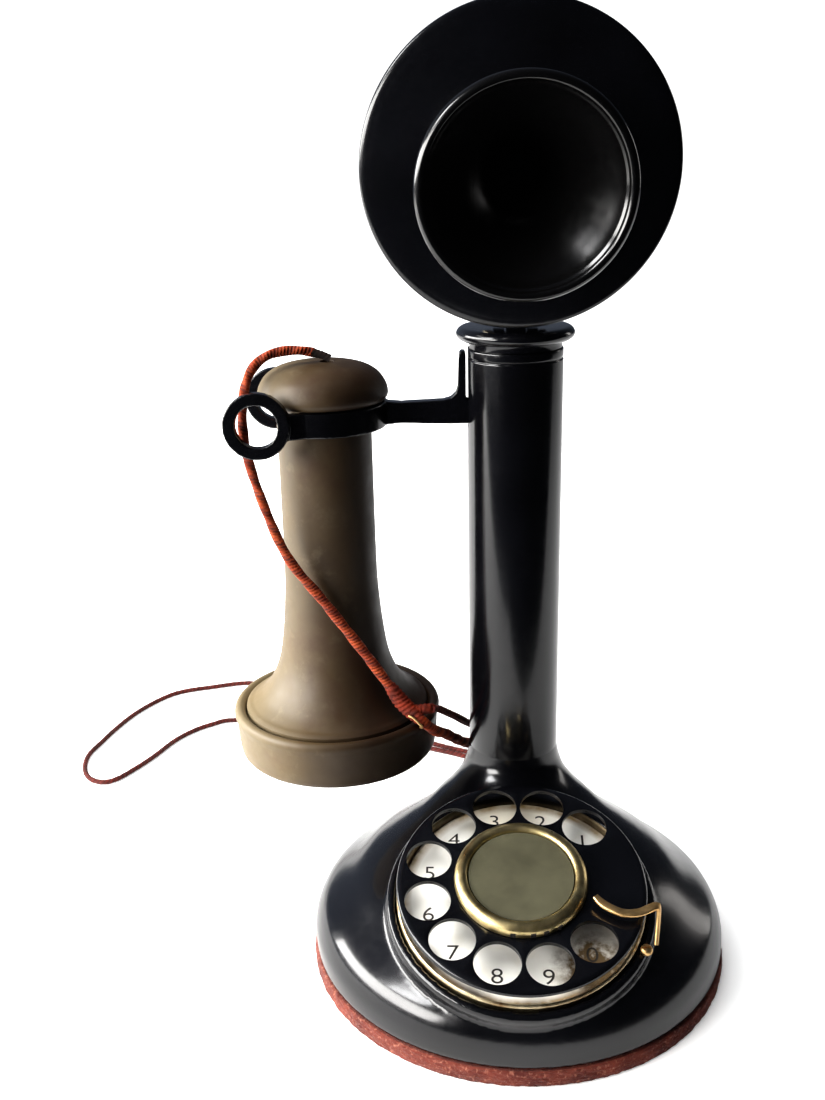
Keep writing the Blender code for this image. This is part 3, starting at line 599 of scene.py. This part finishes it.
def make_base():
    shell = keep("base_shell_look", stacked(base_sections()), BLACK, None)
    drum = [(0, -7.6), (41.5, -7.6, 1.6), (41.5, -18), (0, -18)]
    cutter(shell, turned(rounded(drum), 160), "UNION", DIAL)
    hollow = [(2.0, 0.0, 63.5)] + base_sections(3.6, 3.6)[10:42]
    cutter(shell, stacked(hollow, 64), "DIFFERENCE")
    cutter(shell, rod(38.6, -30, 2, 160), "DIFFERENCE", DIAL)
    cutter(shell, rod(15.3, 0, 52, 96), "DIFFERENCE", STEM)
    for name in BUSH_XS:
        cutter(shell, rod(3.3, -9, 9, 32), "DIFFERENCE", bush_place(name))
    softened(shell, BASE_VOXEL, 6)
    shaded(shell, 80)
    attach(shell, "stand")
    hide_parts("base_shell")

    for name, bore in (("cord_bush", 2.0), ("lead_bush", 2.5)):
        lip = [(bore, 1.4), (3.6, 1.4), (4.2, 0.8), (4.2, 0.3), (3.0, 0.3), (3.0, -5.5),
               (bore, -5.5)]
        keep(f"{name}_look", turned(rounded(lip, 0.35), 40), RUBBER, "stand", bush_place(name),
             replaces=(name,))


def make_felt():
    """The foot: a disc with a rough edge, and short loose fibres standing out of it."""
    edge = [(0, 5.0), (67.2, 5.0, 0.6), (67.7, 2.6, 1.0), (67.4, 0.05, 0.5), (0, 0.05)]
    profile = rounded(edge, 0.5, 5)
    profile = [p for p in profile if p[0] > 0.01]
    fine = []
    for a, b in zip(profile, profile[1:]):
        middle = ((a[0] + b[0]) / 2, (a[1] + b[1]) / 2)
        fine += [a] if abs(a[0] - b[0]) > 20 else [a, middle]
    bm = turned([(0, 5.0)] + fine + [profile[-1], (0, 0.05)], 420)
    rng = random.Random(7)
    for vert in bm.verts:
        reach = math.hypot(vert.co.x, vert.co.y)
        if reach > 60 and 0.1 < vert.co.z < 4.9:
            angle = math.atan2(vert.co.y, vert.co.x)
            wobble = 0.06 * math.sin(angle * 41) + 0.06 * math.sin(angle * 97 + vert.co.z * 3)
            push = 1 + (wobble + rng.uniform(-0.22, 0.22)) / reach
            vert.co.x *= push
            vert.co.y *= push
    for _ in range(FELT_FIBRES):
        angle = rng.uniform(0, math.tau)
        height = rng.uniform(0.5, 4.7)
        out = Vector((math.cos(angle), math.sin(angle), 0))
        along = Vector((-out.y, out.x, 0))
        root = out * 67.5 + Vector((0, 0, height))
        lean = along * rng.uniform(-0.9, 0.9) + Vector((0, 0, rng.uniform(-0.5, 0.6)))
        tip = root + out * rng.uniform(0.25, 0.75) + lean
        tip.z = max(tip.z, 0.1)
        width = (along * 0.6 + Vector((0, 0, 0.4))) * 0.05
        bm.faces.new([bm.verts.new(p) for p in (root - width, root + width, tip)])
    keep("felt_look", bm, FELT, "stand", sharp=180, replaces=("felt_pad",))


# Stem and hook

def make_stem():
    outline = [(13.3, 196.3), (15.0, 196.3, 0.4), (15.0, 193.9, 0.2), (14.75, 193.6, 0.1),
               (14.75, 193.2, 0.1), (15.0, 192.9, 0.2), (15.0, 9.0), (13.3, 9.0)]
    tube = keep("stem_look", turned(rounded(outline, 0.2), 128), BLACK, None, STEM)
    cutter(tube, box((-20, STEM_Y - 2.8, 171.6), (-10, STEM_Y + 2.8, 201.5)), "DIFFERENCE")
    shaded(baked(tube), 35)
    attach(tube, "stand")
    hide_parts("stem_tube")

    half = curved([(14.2, 203.2), (16.8, 202.9), (18.0, 202.0), (18.4, 200.9), (18.0, 199.8),
                   (16.8, 198.9), (14.9, 198.5)], 6)
    neck = [(14.6, 197.6), (14.6, 196.6), (13.0, 196.6), (13.0, 187.0), (0, 187.0)]
    bead = [(0, 203.2)] + half + neck
    head = keep("stem_head_look", turned(bead, 128), BLACK, None, STEM)
    outline = [(5.2, -8.0)] + arc((0, 0), 5.2, 0, 180, 24) + [(-5.2, -8.0)]
    turn = Matrix.Rotation(math.radians(90), 4, "Z")
    upright = Matrix.Translation(PIVOT) @ turn @ lying_x()
    cutter(head, slab(outline, -3.0, 3.0), "UNION", upright)
    cutter(head, rod(PIVOT_BORE, -12, 12), "DIFFERENCE", Matrix.Translation(PIVOT) @ lying_y())
    cutter(head, box((-16, STEM_Y - 2.9, 180), (-11.4, STEM_Y + 2.9, 198.5)), "DIFFERENCE")
    shaded(baked(head), 35)
    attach(head, "stand")
    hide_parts("stem_head")


def make_hook():
    side = [(-17.4, 172.6), (-15.2, 172.6), (-4, 173.0), (0.6, 172.4), (0.8, 150), (3.2, 150),
            (3.6, 168), (5.6, 174)] + arc(HOOK_PIN, 3.6, -20, 115, 16) + [
            (-4, 180.2), (-15.4, 180.2), (-15.4, 194.6), (-15.9, 195.6), (-17.0, 195.6),
            (-17.6, 194.9), (-18.0, 184.5), (-18.7, 182.4), (-20.2, 180.9), (-22.6, 180.2),
            (-36.0, 179.6), (-43.0, 180.2), (-43.0, 172.4), (-36.0, 173.0), (-20.0, 172.5)]
    upright = Matrix.Translation((0, STEM_Y, 0)) @ lying_x()
    hook = keep("hook_look", slab(side, -2.3, 2.3), BLACK, None, upright)
    centre = (RECEIVER[0], STEM_Y)
    inner = arc(centre, 16.4, 100, -100, 60)
    front = [(-72.0, STEM_Y - 18.4), (-79.0, STEM_Y - 19.4), (-79.0, STEM_Y - 22.4),
             (-70.0, STEM_Y - 22.0)]
    outer = arc(centre, 20.2, -100, 100, 60)
    back = [(x, 2 * STEM_Y - y) for x, y in reversed(front)]
    cutter(hook, slab(inner + front + outer + back, 172.4, 180.2), "UNION")
    for y in HOOK_RINGS:
        place = Matrix.Translation((-78.9, y, 177.0)) @ lying_x()
        cutter(hook, rod(10.3, -1.8, 1.8, 72), "UNION", place)
        cutter(hook, rod(6.6, -8, 8, 72), "DIFFERENCE", place)
    pin = Matrix.Translation((HOOK_PIN[0], STEM_Y, HOOK_PIN[1])) @ lying_x()
    cutter(hook, rod(1.4, -9, 9), "DIFFERENCE", pin)
    softened(hook, HOOK_VOXEL, 5)
    shaded(hook, 80)
    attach(hook, "hook")
    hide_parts("hook_lever")


# Dial

def hole_place(number):
    """The middle of a finger hole, counted from the one over the figure 1."""
    angle = math.radians(FIRST_HOLE + HOLE_STEP * number)
    return HOLE_CIRCLE * math.cos(angle), HOLE_CIRCLE * math.sin(angle)


def make_wheel():
    disc = [(3.2, 0.0), (36.6, 0.0, 0.3), (37.7, -0.35, 0.4), (38.1, -1.1, 0.4), (38.0, -1.8, 0.3),
            (37.2, -2.0, 0.3), (36.4, -1.5, 0.3), (3.2, -1.5)]
    wheel = keep("finger_wheel_look", turned(rounded(disc, 0.2), 192), BLACK, None)
    for number in range(10):
        place = Matrix.Translation((*hole_place(number), 0))
        cutter(wheel, rod(HOLE_RADIUS, -4, 4, 64), "DIFFERENCE", place)
    baked(wheel)
    bevelled(wheel, 0.32, 3, 50)
    wheel.matrix_world = in_metres(DIAL)
    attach(wheel, "dial")
    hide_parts("finger_wheel")


def make_card():
    """The brass ring in the wheel's middle, its notches, the blank card and its window."""
    ring = curved([(16.3, 2.9), (16.7, 3.5), (17.7, 3.85), (18.9, 3.5), (19.8, 2.7), (20.25, 1.6),
                   (20.3, 0.4)], 6)
    profile = ring + [(16.3, 0.3)]
    keep("card_ring_look", turned(profile, 128), BRASS, "dial", DIAL, replaces=("card_ring",))
    for angle in (-99, -82, -71, -58):
        turn = DIAL @ Matrix.Rotation(math.radians(angle), 4, "Z")
        notch = box((19.1, -0.75, 0.5), (20.5, 0.75, 2.0))
        keep(f"ring_notch_{-angle}", notch, INK, "dial", turn)
    keep("card_look", rod(15.95, 2.2, 2.6, 96), CARD, "dial", DIAL, replaces=("number_card",))
    window = rounded([(0, 3.4), (14, 3.3), (15.95, 3.05), (15.95, 2.85), (0, 2.85)], 0.1)
    keep("window_look", turned(window, 96), WINDOW, "dial", DIAL, replaces=("card_window",))


def make_plate():
    """The white plate under the holes, and the metal band round it."""
    under = PLATE_TOP - 1.0
    plate = [(5.0, PLATE_TOP), (36.8, PLATE_TOP, 0.3), (36.8, under), (5.0, under)]
    face = keep("number_plate_look", turned(rounded(plate, 0.1), 160), PLATE, None)
    face.matrix_world = in_metres(DIAL)
    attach(face, "stand")
    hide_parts("number_plate")
    bezel = [(37.0, -6.8, 0.3), (37.6, -6.0, 0.4), (38.3, -6.9, 0.4), (38.3, -9.8), (37.0, -9.8)]
    keep("dial_bezel_look", turned(rounded(bezel, 0.2), 160), BEZEL, "stand", DIAL,
         replaces=("dial_bezel",))


def make_figures():
    """Plain figures from 1 round to 0, lying on the plate."""
    squat = Matrix.Diagonal((1.0, 0.86, 1.0, 1.0))
    for number in range(10):
        x, y = hole_place(number)
        figure = (number + 1) % 10
        text = bpy.data.curves.new(f"figure_{figure}", "FONT")
        text.body = str(figure)
        text.size = 8.2
        text.align_x = "CENTER"
        text.align_y = "CENTER"
        text.offset = -0.05
        text.extrude = 0.03
        holder = bpy.data.objects.new(text.name, text)
        bpy.context.scene.collection.objects.link(holder)
        bpy.context.view_layer.update()
        graph = bpy.context.evaluated_depsgraph_get()
        mesh = bpy.data.meshes.new_from_object(holder.evaluated_get(graph))
        bpy.data.objects.remove(holder)
        bm = bmesh.new()
        bm.from_mesh(mesh)
        place = DIAL @ Matrix.Translation((x, y + 1.0, PLATE_TOP + 0.02)) @ squat
        keep(f"figure_{figure}", bm, INK, "stand", place)


def make_finger_stop():
    """A bent brass strip from the drum's rim over the wheel, and the screw that holds it."""
    route = [(21.6, -7.9, 3.3), (23.2, -9.8, 3.1), (25.6, -11.6, 3.0), (29.5, -13.4, 3.0),
             (34.0, -13.2, 3.1), (37.4, -11.9, 3.5), (39.3, -11.2, 3.4), (39.9, -11.5, 2.2),
             (39.9, -12.8, -0.5), (39.6, -15.0, -3.6), (39.2, -17.5, -6.4)]
    rows = curved(route, 8)
    bm = bmesh.new()
    rings = []
    for k, centre in enumerate(rows):
        ahead = (rows[min(k + 1, len(rows) - 1)] - rows[max(k - 1, 0)]).normalized()
        out = Vector((1, -0.35, 0)).normalized()
        flat = Vector((0, 0, 1)) if ahead.z > -0.6 else out
        thin = (flat - ahead * flat.dot(ahead)).normalized()
        wide = ahead.cross(thin)
        ring = []
        for a in range(16):
            angle = math.tau * a / 16
            c, s = math.cos(angle), math.sin(angle)
            c = math.copysign(abs(c) ** 0.6, c)
            s = math.copysign(abs(s) ** 0.6, s)
            taper = 0.75 + 0.25 * min(1.0, k / 10)
            ring.append(bm.verts.new(centre + wide * 1.3 * taper * c + thin * 0.65 * s))
        rings.append(ring)
    for low, high in zip(rings, rings[1:]):
        for a in range(16):
            b = (a + 1) % 16
            bm.faces.new((low[a], low[b], high[b], high[a]))
    bm.faces.new(rings[0])
    bm.faces.new(rings[-1])
    keep("finger_stop_look", bm, GOLD, "stand", DIAL, sharp=50, replaces=("finger_stop",))
    head = [(0, -5.4), (1.3, -5.6, 0.3), (1.8, -6.3, 0.3), (1.8, -7.2), (0, -7.2)]
    place = DIAL @ Matrix.Translation((36.2, -19.2, 0))
    screw = keep("stop_screw_look", turned(rounded(head, 0.2), 40), GOLD, None, place)
    cutter(screw, box((-3, -0.25, -6.0), (3, 0.25, -5)), "DIFFERENCE", place)
    shaded(baked(screw), 35)
    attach(screw, "stand")
    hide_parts("finger_stop_screw")


# Transmitter

def make_cup():
    """The round back of the transmitter, with the two ears that hold it on the stem's head."""
    outside = curved([(45.0, -8.2), (44.2, -10.3), (41.8, -12.7), (35.0, -15.6), (24.0, -18.0),
                      (12.0, -19.3), (0, -19.6)], 6)
    on_edge = Matrix(((0, 0, 1, 0), (0, 1, 0, 0), (1, 0, 0, 0), (0, 0, 0, 1)))
    profile = [(43.0, -3.3), (44.5, -3.3), (45.0, -3.9)] + outside + [
        (0, -17.6), (11.0, -17.4), (23.0, -16.0), (34.0, -13.6), (40.0, -11.2), (42.4, -8.6)]
    cup = keep("cup_look", turned(profile, 160), BLACK, None, FACE)
    for side in (-1, 1):
        outline = arc((0, 0), 5.0, 150, 330, 20) + [(9.5, 3.5), (6.5, 14.0), (3.6, 16.0)]
        ear = slab(outline, -1.7, 1.7)
        ear.transform(on_edge)
        cutter(cup, ear, "UNION", TILT @ Matrix.Translation((side * 5.2, 0, 0)))
    cutter(cup, rod(PIVOT_BORE, -12, 12), "DIFFERENCE", TILT @ lying_y())
    shaded(baked(cup), 35)
    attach(cup, "transmitter")
    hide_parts("transmitter_cup")


def make_pivot():
    """The bolt that the transmitter tilts on, and its nut."""
    bolt = [(0, -10.6), (2.8, -10.5, 1.0), (3.8, -9.4, 0.5), (3.8, -7.2), (2.0, -7.2), (2.0, 10.4),
            (0, 10.4)]
    keep("pivot_bolt_look", turned(rounded(bolt, 0.25), 48), NICKEL, "transmitter",
         TILT @ lying_y(), replaces=("pivot_bolt",))
    hexagon = arc((0, 0), 7.4 / math.sqrt(3), 0, 300, 5)
    nut = keep("pivot_nut_look", slab(hexagon, 7.3, 9.5), NICKEL, None, TILT @ lying_y())
    cutter(nut, rod(2.3, 6, 11), "DIFFERENCE", TILT @ lying_y())
    baked(nut)
    bevelled(nut, 0.25, 2, 30)
    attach(nut, "transmitter")
    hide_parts("pivot_nut")


def make_faceplate():
    front = curved([(11.0, 2.5), (17.0, 2.2), (30.0, 1.35), (40.0, 0.4), (42.8, 0.0)], 6)
    rim = curved([(43.9, -0.15), (44.7, -0.6), (45.0, -1.4), (44.7, -2.4), (43.9, -3.0)], 5)
    face = front + rim + [
        (42.6, -3.0), (41.0, -1.8), (30.0, -0.4), (17.0, 0.4), (11.0, 0.6)]
    keep("faceplate_look", turned(face, 192), BLACK, "transmitter", FACE, replaces=("faceplate",))


def make_mouthpiece():
    bowl = curved([(5.0, 5.4), (5.5, 7.4), (7.4, 12.5), (10.4, 18.0), (14.0, 22.9), (17.6, 27.2),
                   (21.0, 31.0), (23.6, 34.0), (25.0, 35.9)], 7)
    lip = curved([(25.5, 36.3), (26.2, 37.2), (27.0, 37.45), (27.9, 37.0), (28.45, 36.0),
                  (28.4, 34.7), (27.6, 33.0)], 6)
    back = curved([(26.6, 31.6), (24.9, 28.4), (21.0, 18.5), (17.8, 11.5), (16.4, 7.4),
                   (16.1, 5.0)], 7)
    horn = bowl + lip + back + [
        (16.3, 4.2), (16.3, 3.0), (15.8, 2.7), (10.6, 2.7), (10.6, 0.9), (5.0, 0.9)]
    keep("mouthpiece_look", turned(horn, 160), HORN, "transmitter", FACE, sharp=45,
         replaces=("mouthpiece",))


# Receiver

def make_receiver_cap():
    top = curved([(3.0, 193.0), (8.0, 192.7), (14.0, 191.3), (17.8, 189.0), (19.9, 186.1),
                  (20.7, 183.5), (20.55, 181.9), (19.6, 180.7)], 6)
    cap = keep("cap_look", turned([(0, 193.0)] + top + [(15.5, 180.5), (0, 180.5)], 128),
               BROWN, None, HUNG)
    cutter(cap, rod(CORD_HOLE_RADIUS, 178, 200, 40), "DIFFERENCE", CORD_HOLE)
    shaded(baked(cap), 40)
    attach(cap, "receiver")
    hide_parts("receiver_cap")


def make_receiver_shell():
    side = curved([(15.1, 179.8), (15.1, 160), (15.15, 140), (15.3, 125), (15.6, 117),
                   (16.6, 105.5), (18.3, 94.0), (21.1, 86.2), (24.7, 80.8), (28.0, 77.9),
                   (30.0, 76.9)], 6)
    shell = [(0, 180.2), (14.8, 180.2)] + side + [
        (30.9, 76.2), (31.0, 75.4), (31.0, 64.4), (28.5, 64.4), (28.5, 72.0), (25.0, 76.0),
        (18.0, 84.0), (14.6, 96.0), (12.6, 112.0), (12.4, 172.0), (0, 172.0)]
    body = keep("receiver_look", turned(shell, 128), BROWN, None, HUNG)
    cutter(body, rod(CORD_HOLE_RADIUS, 160, 190, 40), "DIFFERENCE", CORD_HOLE)
    shaded(baked(body), 40)
    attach(body, "receiver")
    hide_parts("receiver_shell")


def make_ear_cap():
    rim = curved([(31.35, 74.3), (31.9, 75.4), (33.0, 76.1), (34.2, 75.9), (35.0, 75.0),
                  (35.2, 73.8), (34.85, 72.4), (34.5, 71.0)], 5)
    wall = rim + [(34.2, 66.0), (33.7, 61.6)]
    foot = curved([(33.3, 60.4), (32.4, 59.5), (30.4, 59.0), (27.0, 59.1), (22.0, 59.5),
                   (14.0, 60.1), (8.0, 60.9), (6.4, 61.3)], 5)
    ear = wall + foot + [(6.0, 61.8), (6.4, 62.2), (31.35, 62.2)]
    keep("ear_cap_look", turned(ear, 144), BROWN, "receiver", HUNG, sharp=50,
         replaces=("ear_cap",))


# Cords

CORD_ROUTE = [
    (-57.8, 29.0, 193.8), (-60.4, 28.6, 195.0), (-63.4, 28.0, 196.0), (-66.3, 27.0, 196.7),
    (-69.8, 26.0, 197.0), (-73.3, 24.5, 196.8), (-76.5, 23.0, 196.0), (-79.2, 21.5, 194.4),
    (-81.3, 19.5, 192.0), (-82.5, 17.5, 189.2), (-83.3, 16.0, 186.0), (-84.0, 14.2, 178.5),
    (-83.9, 13.6, 174.5), (-82.9, 12.6, 166.3), (-78.5, 11.0, 151.2), (-71.7, 10.6, 133.9),
    (-60.6, 11.4, 118.0), (-47.8, 11.4, 99.5), (-36.8, 10.4, 83.5), (-30.8, 8.2, 78.4),
    (-26.6, 12.4, 72.6), (-23.6, 19.6, 67.8), (-20.1, 29.0, 60.9), (-16.8, 38.0, 54.6),
    (-12.8, 47.5, 48.8), (-9.9, 58.0, 41.5), (-8.8, 68.0, 32.5), (-9.4, 77.0, 22.5),
    (-10.6, 79.4, 15.8), (-11.6, 76.4, 11.6), (-12.0, 71.6, 10.6), (-12.0, 68.6, 10.6),
]

LEAD_1_ROUTE = [
    (-29.4, 11.4, 81.2), (-27.2, 15.4, 79.6), (-24.9, 20.0, 76.2), (-20.4, 30.0, 68.8),
    (-16.6, 40.0, 61.4), (-10.0, 52.0, 52.0), (-2.0, 66.0, 39.0), (6.0, 82.0, 23.0),
    (12.0, 98.0, 8.5), (12.6, 110.0, 2.2), (4.0, 119.0, 1.1), (-14.0, 128.4, 1.1),
    (-31.9, 137.4, 1.1), (-60.0, 155.0, 1.1), (-88.0, 179.0, 1.1), (-106.0, 193.6, 1.1),
    (-124.1, 200.8, 1.1), (-142.5, 196.3, 1.1), (-157.4, 190.6, 1.1), (-166.1, 181.7, 1.1),
    (-173.9, 167.7, 1.1), (-179.1, 152.3, 1.1), (-182.3, 138.6, 1.1), (-184.7, 126.4, 1.1),
    (-183.0, 114.7, 1.1), (-178.4, 106.0, 1.1), (-171.7, 102.6, 1.1), (-166.0, 105.6, 1.1),
    (-159.5, 116.0, 1.1), (-154.4, 126.4, 1.1), (-149.1, 139.4, 1.1), (-142.7, 149.0, 1.1),
    (-134.8, 156.0, 1.1), (-124.9, 160.3, 1.1), (-95.0, 157.0, 1.1), (-62.0, 145.0, 1.1),
    (-31.9, 132.4, 1.1), (-14.0, 123.6, 1.1), (-1.0, 113.0, 1.1), (5.6, 99.0, 1.8),
    (8.4, 85.0, 5.2), (8.9, 76.0, 9.2), (8.9, 68.6, 10.6),
]

LEAD_2_ROUTE = [
    (-27.4, 10.6, 81.2), (-25.2, 14.6, 79.6), (-22.9, 19.2, 76.2), (-18.4, 29.2, 68.8),
    (-14.4, 39.4, 61.2), (-5.6, 52.0, 50.8), (2.4, 64.0, 39.0), (8.6, 74.0, 26.0),
    (10.8, 78.6, 17.6), (11.1, 76.6, 12.8), (11.1, 72.6, 10.8), (11.1, 68.6, 10.6),
]


def cord_radius(share):
    """The cord is thin where it comes out of the cap and frays thicker towards its tie."""
    at_the_cap = 0.02
    if share < at_the_cap:
        return 1.05
    return 1.48 + 0.28 * min(1.0, max(0.0, (share - 0.25) / 0.3))


def make_cord_trim():
    """The dark tip at the cap, the thread tie where the leads leave, its loose ends, the clip."""
    tip, _, _ = swept("cord_tip_look", CORD_ROUTE[:3], lambda t: 1.22 + 0.3 * t**3, TIP, 0.3,
                      0.06, 1.2)
    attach(tip, "receiver")
    above, start, end = [Vector(point) for point in CORD_ROUTE[17:20]]
    tie, _, _ = swept("tie_look", [above.lerp(start, 0.62), start, end],
                      lambda t: 1.75 + 0.85 * math.sin(math.pi * t) ** 0.7, TIE, 0.3, 0.16, 1.6)
    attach(tie, "receiver")
    neck = [(-33.6, 9.4, 81.0), (-31.4, 10.2, 81.2), (-29.0, 10.8, 81.3), (-27.0, 12.8, 80.5)]
    wrap, _, _ = swept("tie_neck_look", neck, lambda t: 2.0 - 0.5 * t, TIE, 0.3, 0.14, 1.4)
    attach(wrap, "receiver")
    rng = random.Random(11)
    bm = bmesh.new()
    for _ in range(TIE_FIBRES):
        root = Vector((-31.5, 8.8, 79.6)) + Vector([rng.uniform(-2.2, 2.2) for _ in range(3)])
        reach = (rng.uniform(-2.2, 2.6), rng.uniform(-1.6, 0.6), rng.uniform(-2.4, 1.2))
        side = Vector([rng.uniform(-1, 1) for _ in range(3)]).normalized() * 0.07
        corners = (root - side, root + side, root + Vector(reach))
        bm.faces.new([bm.verts.new(p) for p in corners])
    fibres = keep("tie_fibres", bm, TIE, "receiver", sharp=180)
    points = [(-34.9, 6.9, 80.8), (-33.0, 6.1, 80.0), (-31.4, 5.7, 78.4), (-30.6, 6.4, 76.8),
              (-31.2, 8.0, 76.0)]
    clip, _, _ = swept("clip_look", points, lambda t: 0.42, GOLD, 0.3)
    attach(clip, "receiver")
    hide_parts("cord_clip")
    return [tip, tie, wrap, fibres, clip]


def make_cords():
    """The cloth-covered cord and leads."""
    cord, line, length = swept("receiver_cord_look", CORD_ROUTE, cord_radius, CORD, 0.4, 0.11, 11.0)
    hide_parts("receiver_cord")
    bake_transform(cord)
    make_cord_trim()
    leads = (("cord_lead_1", LEAD_1_ROUTE), ("cord_lead_2", LEAD_2_ROUTE))
    for name, route in leads:
        lead, line, length = swept(f"{name}_look", route, lambda t: 1.02, LEAD, 0.45, 0.04, 4.0)
        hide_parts(name)
        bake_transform(lead)


# Room

def make_room():
    """A pale table top in a white studio, whose reflected light is weakest in front, and which
    glows white to the camera as painted light.
    """
    outline = [(-1100, -260), (-70, -235), (60, -130), (300, -60), (1500, 250), (2500, 3000),
               (-2500, 3000), (-1500, 0)]
    white = (1.0, 0.998, 0.99, 1)
    g = Graph("floor")
    cloud = g.ramp(g.noise(3, 3), 0.3, 0.7)
    g.set("Base Color", g.mix(cloud, (0.93, 0.925, 0.91), (0.95, 0.945, 0.935)))
    g.set("Roughness", g.ramp(g.noise(40, 3), 0.3, 0.7, 0.75, 0.85))
    far = g.nodes.new("ShaderNodeVectorMath")
    far.operation = "LENGTH"
    g.links.new(g.place, far.inputs[0])
    # painted light: for camera rays the table top glows white, weaker near the telephone so its
    # shadow still shows
    seen = g.nodes.new("ShaderNodeLightPath").outputs["Is Camera Ray"]
    g.set("Emission Color", white)
    glow = g.ramp(far.outputs["Value"], 0.1, 0.45, 0.3, 1.0)
    g.set("Emission Strength", g.math("MULTIPLY", seen, glow))
    sheet = bmesh.new()
    sheet.faces.new([sheet.verts.new((x, y, FLOOR_Z)) for x, y in outline])
    ground = keep("floor", sheet, g.made, None)

    world = bpy.data.worlds.new("room")
    bpy.context.scene.world = world
    world.use_nodes = True
    nodes, links = world.node_tree.nodes, world.node_tree.links
    lean = nodes.new("ShaderNodeVectorMath")
    lean.operation = "DOT_PRODUCT"
    links.new(nodes.new("ShaderNodeTexCoord").outputs["Generated"], lean.inputs[0])
    brightest = (-0.75, 0.62, 0.1)
    lean.inputs[1].default_value = brightest
    ramp = nodes.new("ShaderNodeValToRGB")
    stops = [(0.0, 0.012), (0.35, 0.035), (0.6, 0.08), (0.8, 0.16), (1.0, 0.26)]
    while len(ramp.color_ramp.elements) < len(stops):
        ramp.color_ramp.elements.new(0.5)
    for element, (position, level) in zip(ramp.color_ramp.elements, stops):
        element.position = position
        element.color = (level * 0.82, level * 0.94, level * 1.18, 1)  # a cool grey
    rescale = nodes.new("ShaderNodeMapRange")
    rescale.inputs["From Min"].default_value = -1.0
    links.new(lean.outputs["Value"], rescale.inputs["Value"])
    links.new(rescale.outputs["Result"], ramp.inputs["Fac"])
    links.new(ramp.outputs["Color"], nodes["Background"].inputs["Color"])
    backdrop = nodes.new("ShaderNodeBackground")
    backdrop.inputs["Color"].default_value = white
    backdrop.inputs["Strength"].default_value = 1.05
    choice = nodes.new("ShaderNodeMixShader")
    links.new(nodes.new("ShaderNodeLightPath").outputs["Is Camera Ray"], choice.inputs[0])
    links.new(nodes["Background"].outputs[0], choice.inputs[1])
    links.new(backdrop.outputs[0], choice.inputs[2])
    links.new(choice.outputs[0], nodes["World Output"].inputs[0])


def lamp(name, place, target, size, power, colour=(1, 1, 1)):
    data = bpy.data.lights.new(name, "AREA")
    data.shape = "RECTANGLE"
    data.size, data.size_y = size
    data.energy = power
    data.color = colour
    made = bpy.data.objects.new(name, data)
    made.location = place
    made.rotation_euler = (Vector(target) - Vector(place)).to_track_quat("-Z", "Y").to_euler()
    bpy.context.scene.collection.objects.link(made)
    return made


def make_lights():
    lamp("window", (-1.25, -0.28, 0.45), (0, 0, 0.06), (1.9, 0.5), 52, (1.0, 0.985, 0.96))
    lamp("fanlight", (-1.0, -0.42, 0.98), (0, 0, 0.15), (0.5, 0.4), 13).visible_diffuse = False
    lamp("ceiling", (-0.5, 0.05, 1.4), (0, 0.0, 0), (1.2, 1.0), 27).visible_glossy = False
    lamp("right_wall", (1.3, 0.9, 0.45), (0, 0, 0.1), (0.25, 0.7), 1.5, (1.0, 0.97, 0.93))


def make_camera():
    data = bpy.data.cameras.new("camera")
    data.sensor_fit = "VERTICAL"
    data.sensor_height = 36.0
    data.sensor_width = 27.0
    data.lens = 39.27
    data.shift_x = 0.0067
    data.shift_y = -0.0017
    data.clip_start = 0.01
    made = bpy.data.objects.new("camera", data)
    right = Vector((0.99875, 0.04381, -0.02407))
    up = Vector((0.00860, 0.32380, 0.94609))
    back = right.cross(up)
    place = Matrix((right, up, back)).transposed().to_4x4()
    place.translation = Vector((-16.34, -344.30, 258.39)) * MM
    made.matrix_world = place
    bpy.context.scene.collection.objects.link(made)
    bpy.context.scene.camera = made


def dress_cad():
    """The pieces inside, which show only where the telephone is open, keep their CAD shapes."""
    for part in frame["record"]["subparts"]:
        node = frame["nodes"][part["node"]]
        for slot in node.material_slots:
            slot.material = FINISHES[part["material_slot"]][0]
    # painted shade: the diaphragm behind the mouthpiece's throat is made near black; the carbon
    # button's near black is its own colour
    for name in ("transmitter_diaphragm", "carbon_button"):
        frame["nodes"][name].material_slots[0].material = THROAT_SHADE_BLACK


dress_cad()
make_base()
make_felt()
make_stem()
make_hook()
make_wheel()
make_card()
make_plate()
make_figures()
make_finger_stop()
make_cup()
make_pivot()
make_faceplate()
make_mouthpiece()
make_receiver_cap()
make_receiver_shell()
make_ear_cap()
make_cords()
make_room()
make_lights()
make_camera()

scene = bpy.context.scene
scene.view_settings.view_transform = "Standard"
scene.view_settings.look = "Medium High Contrast"
scene.cycles.max_bounces = 8
scene.cycles.use_denoising = True
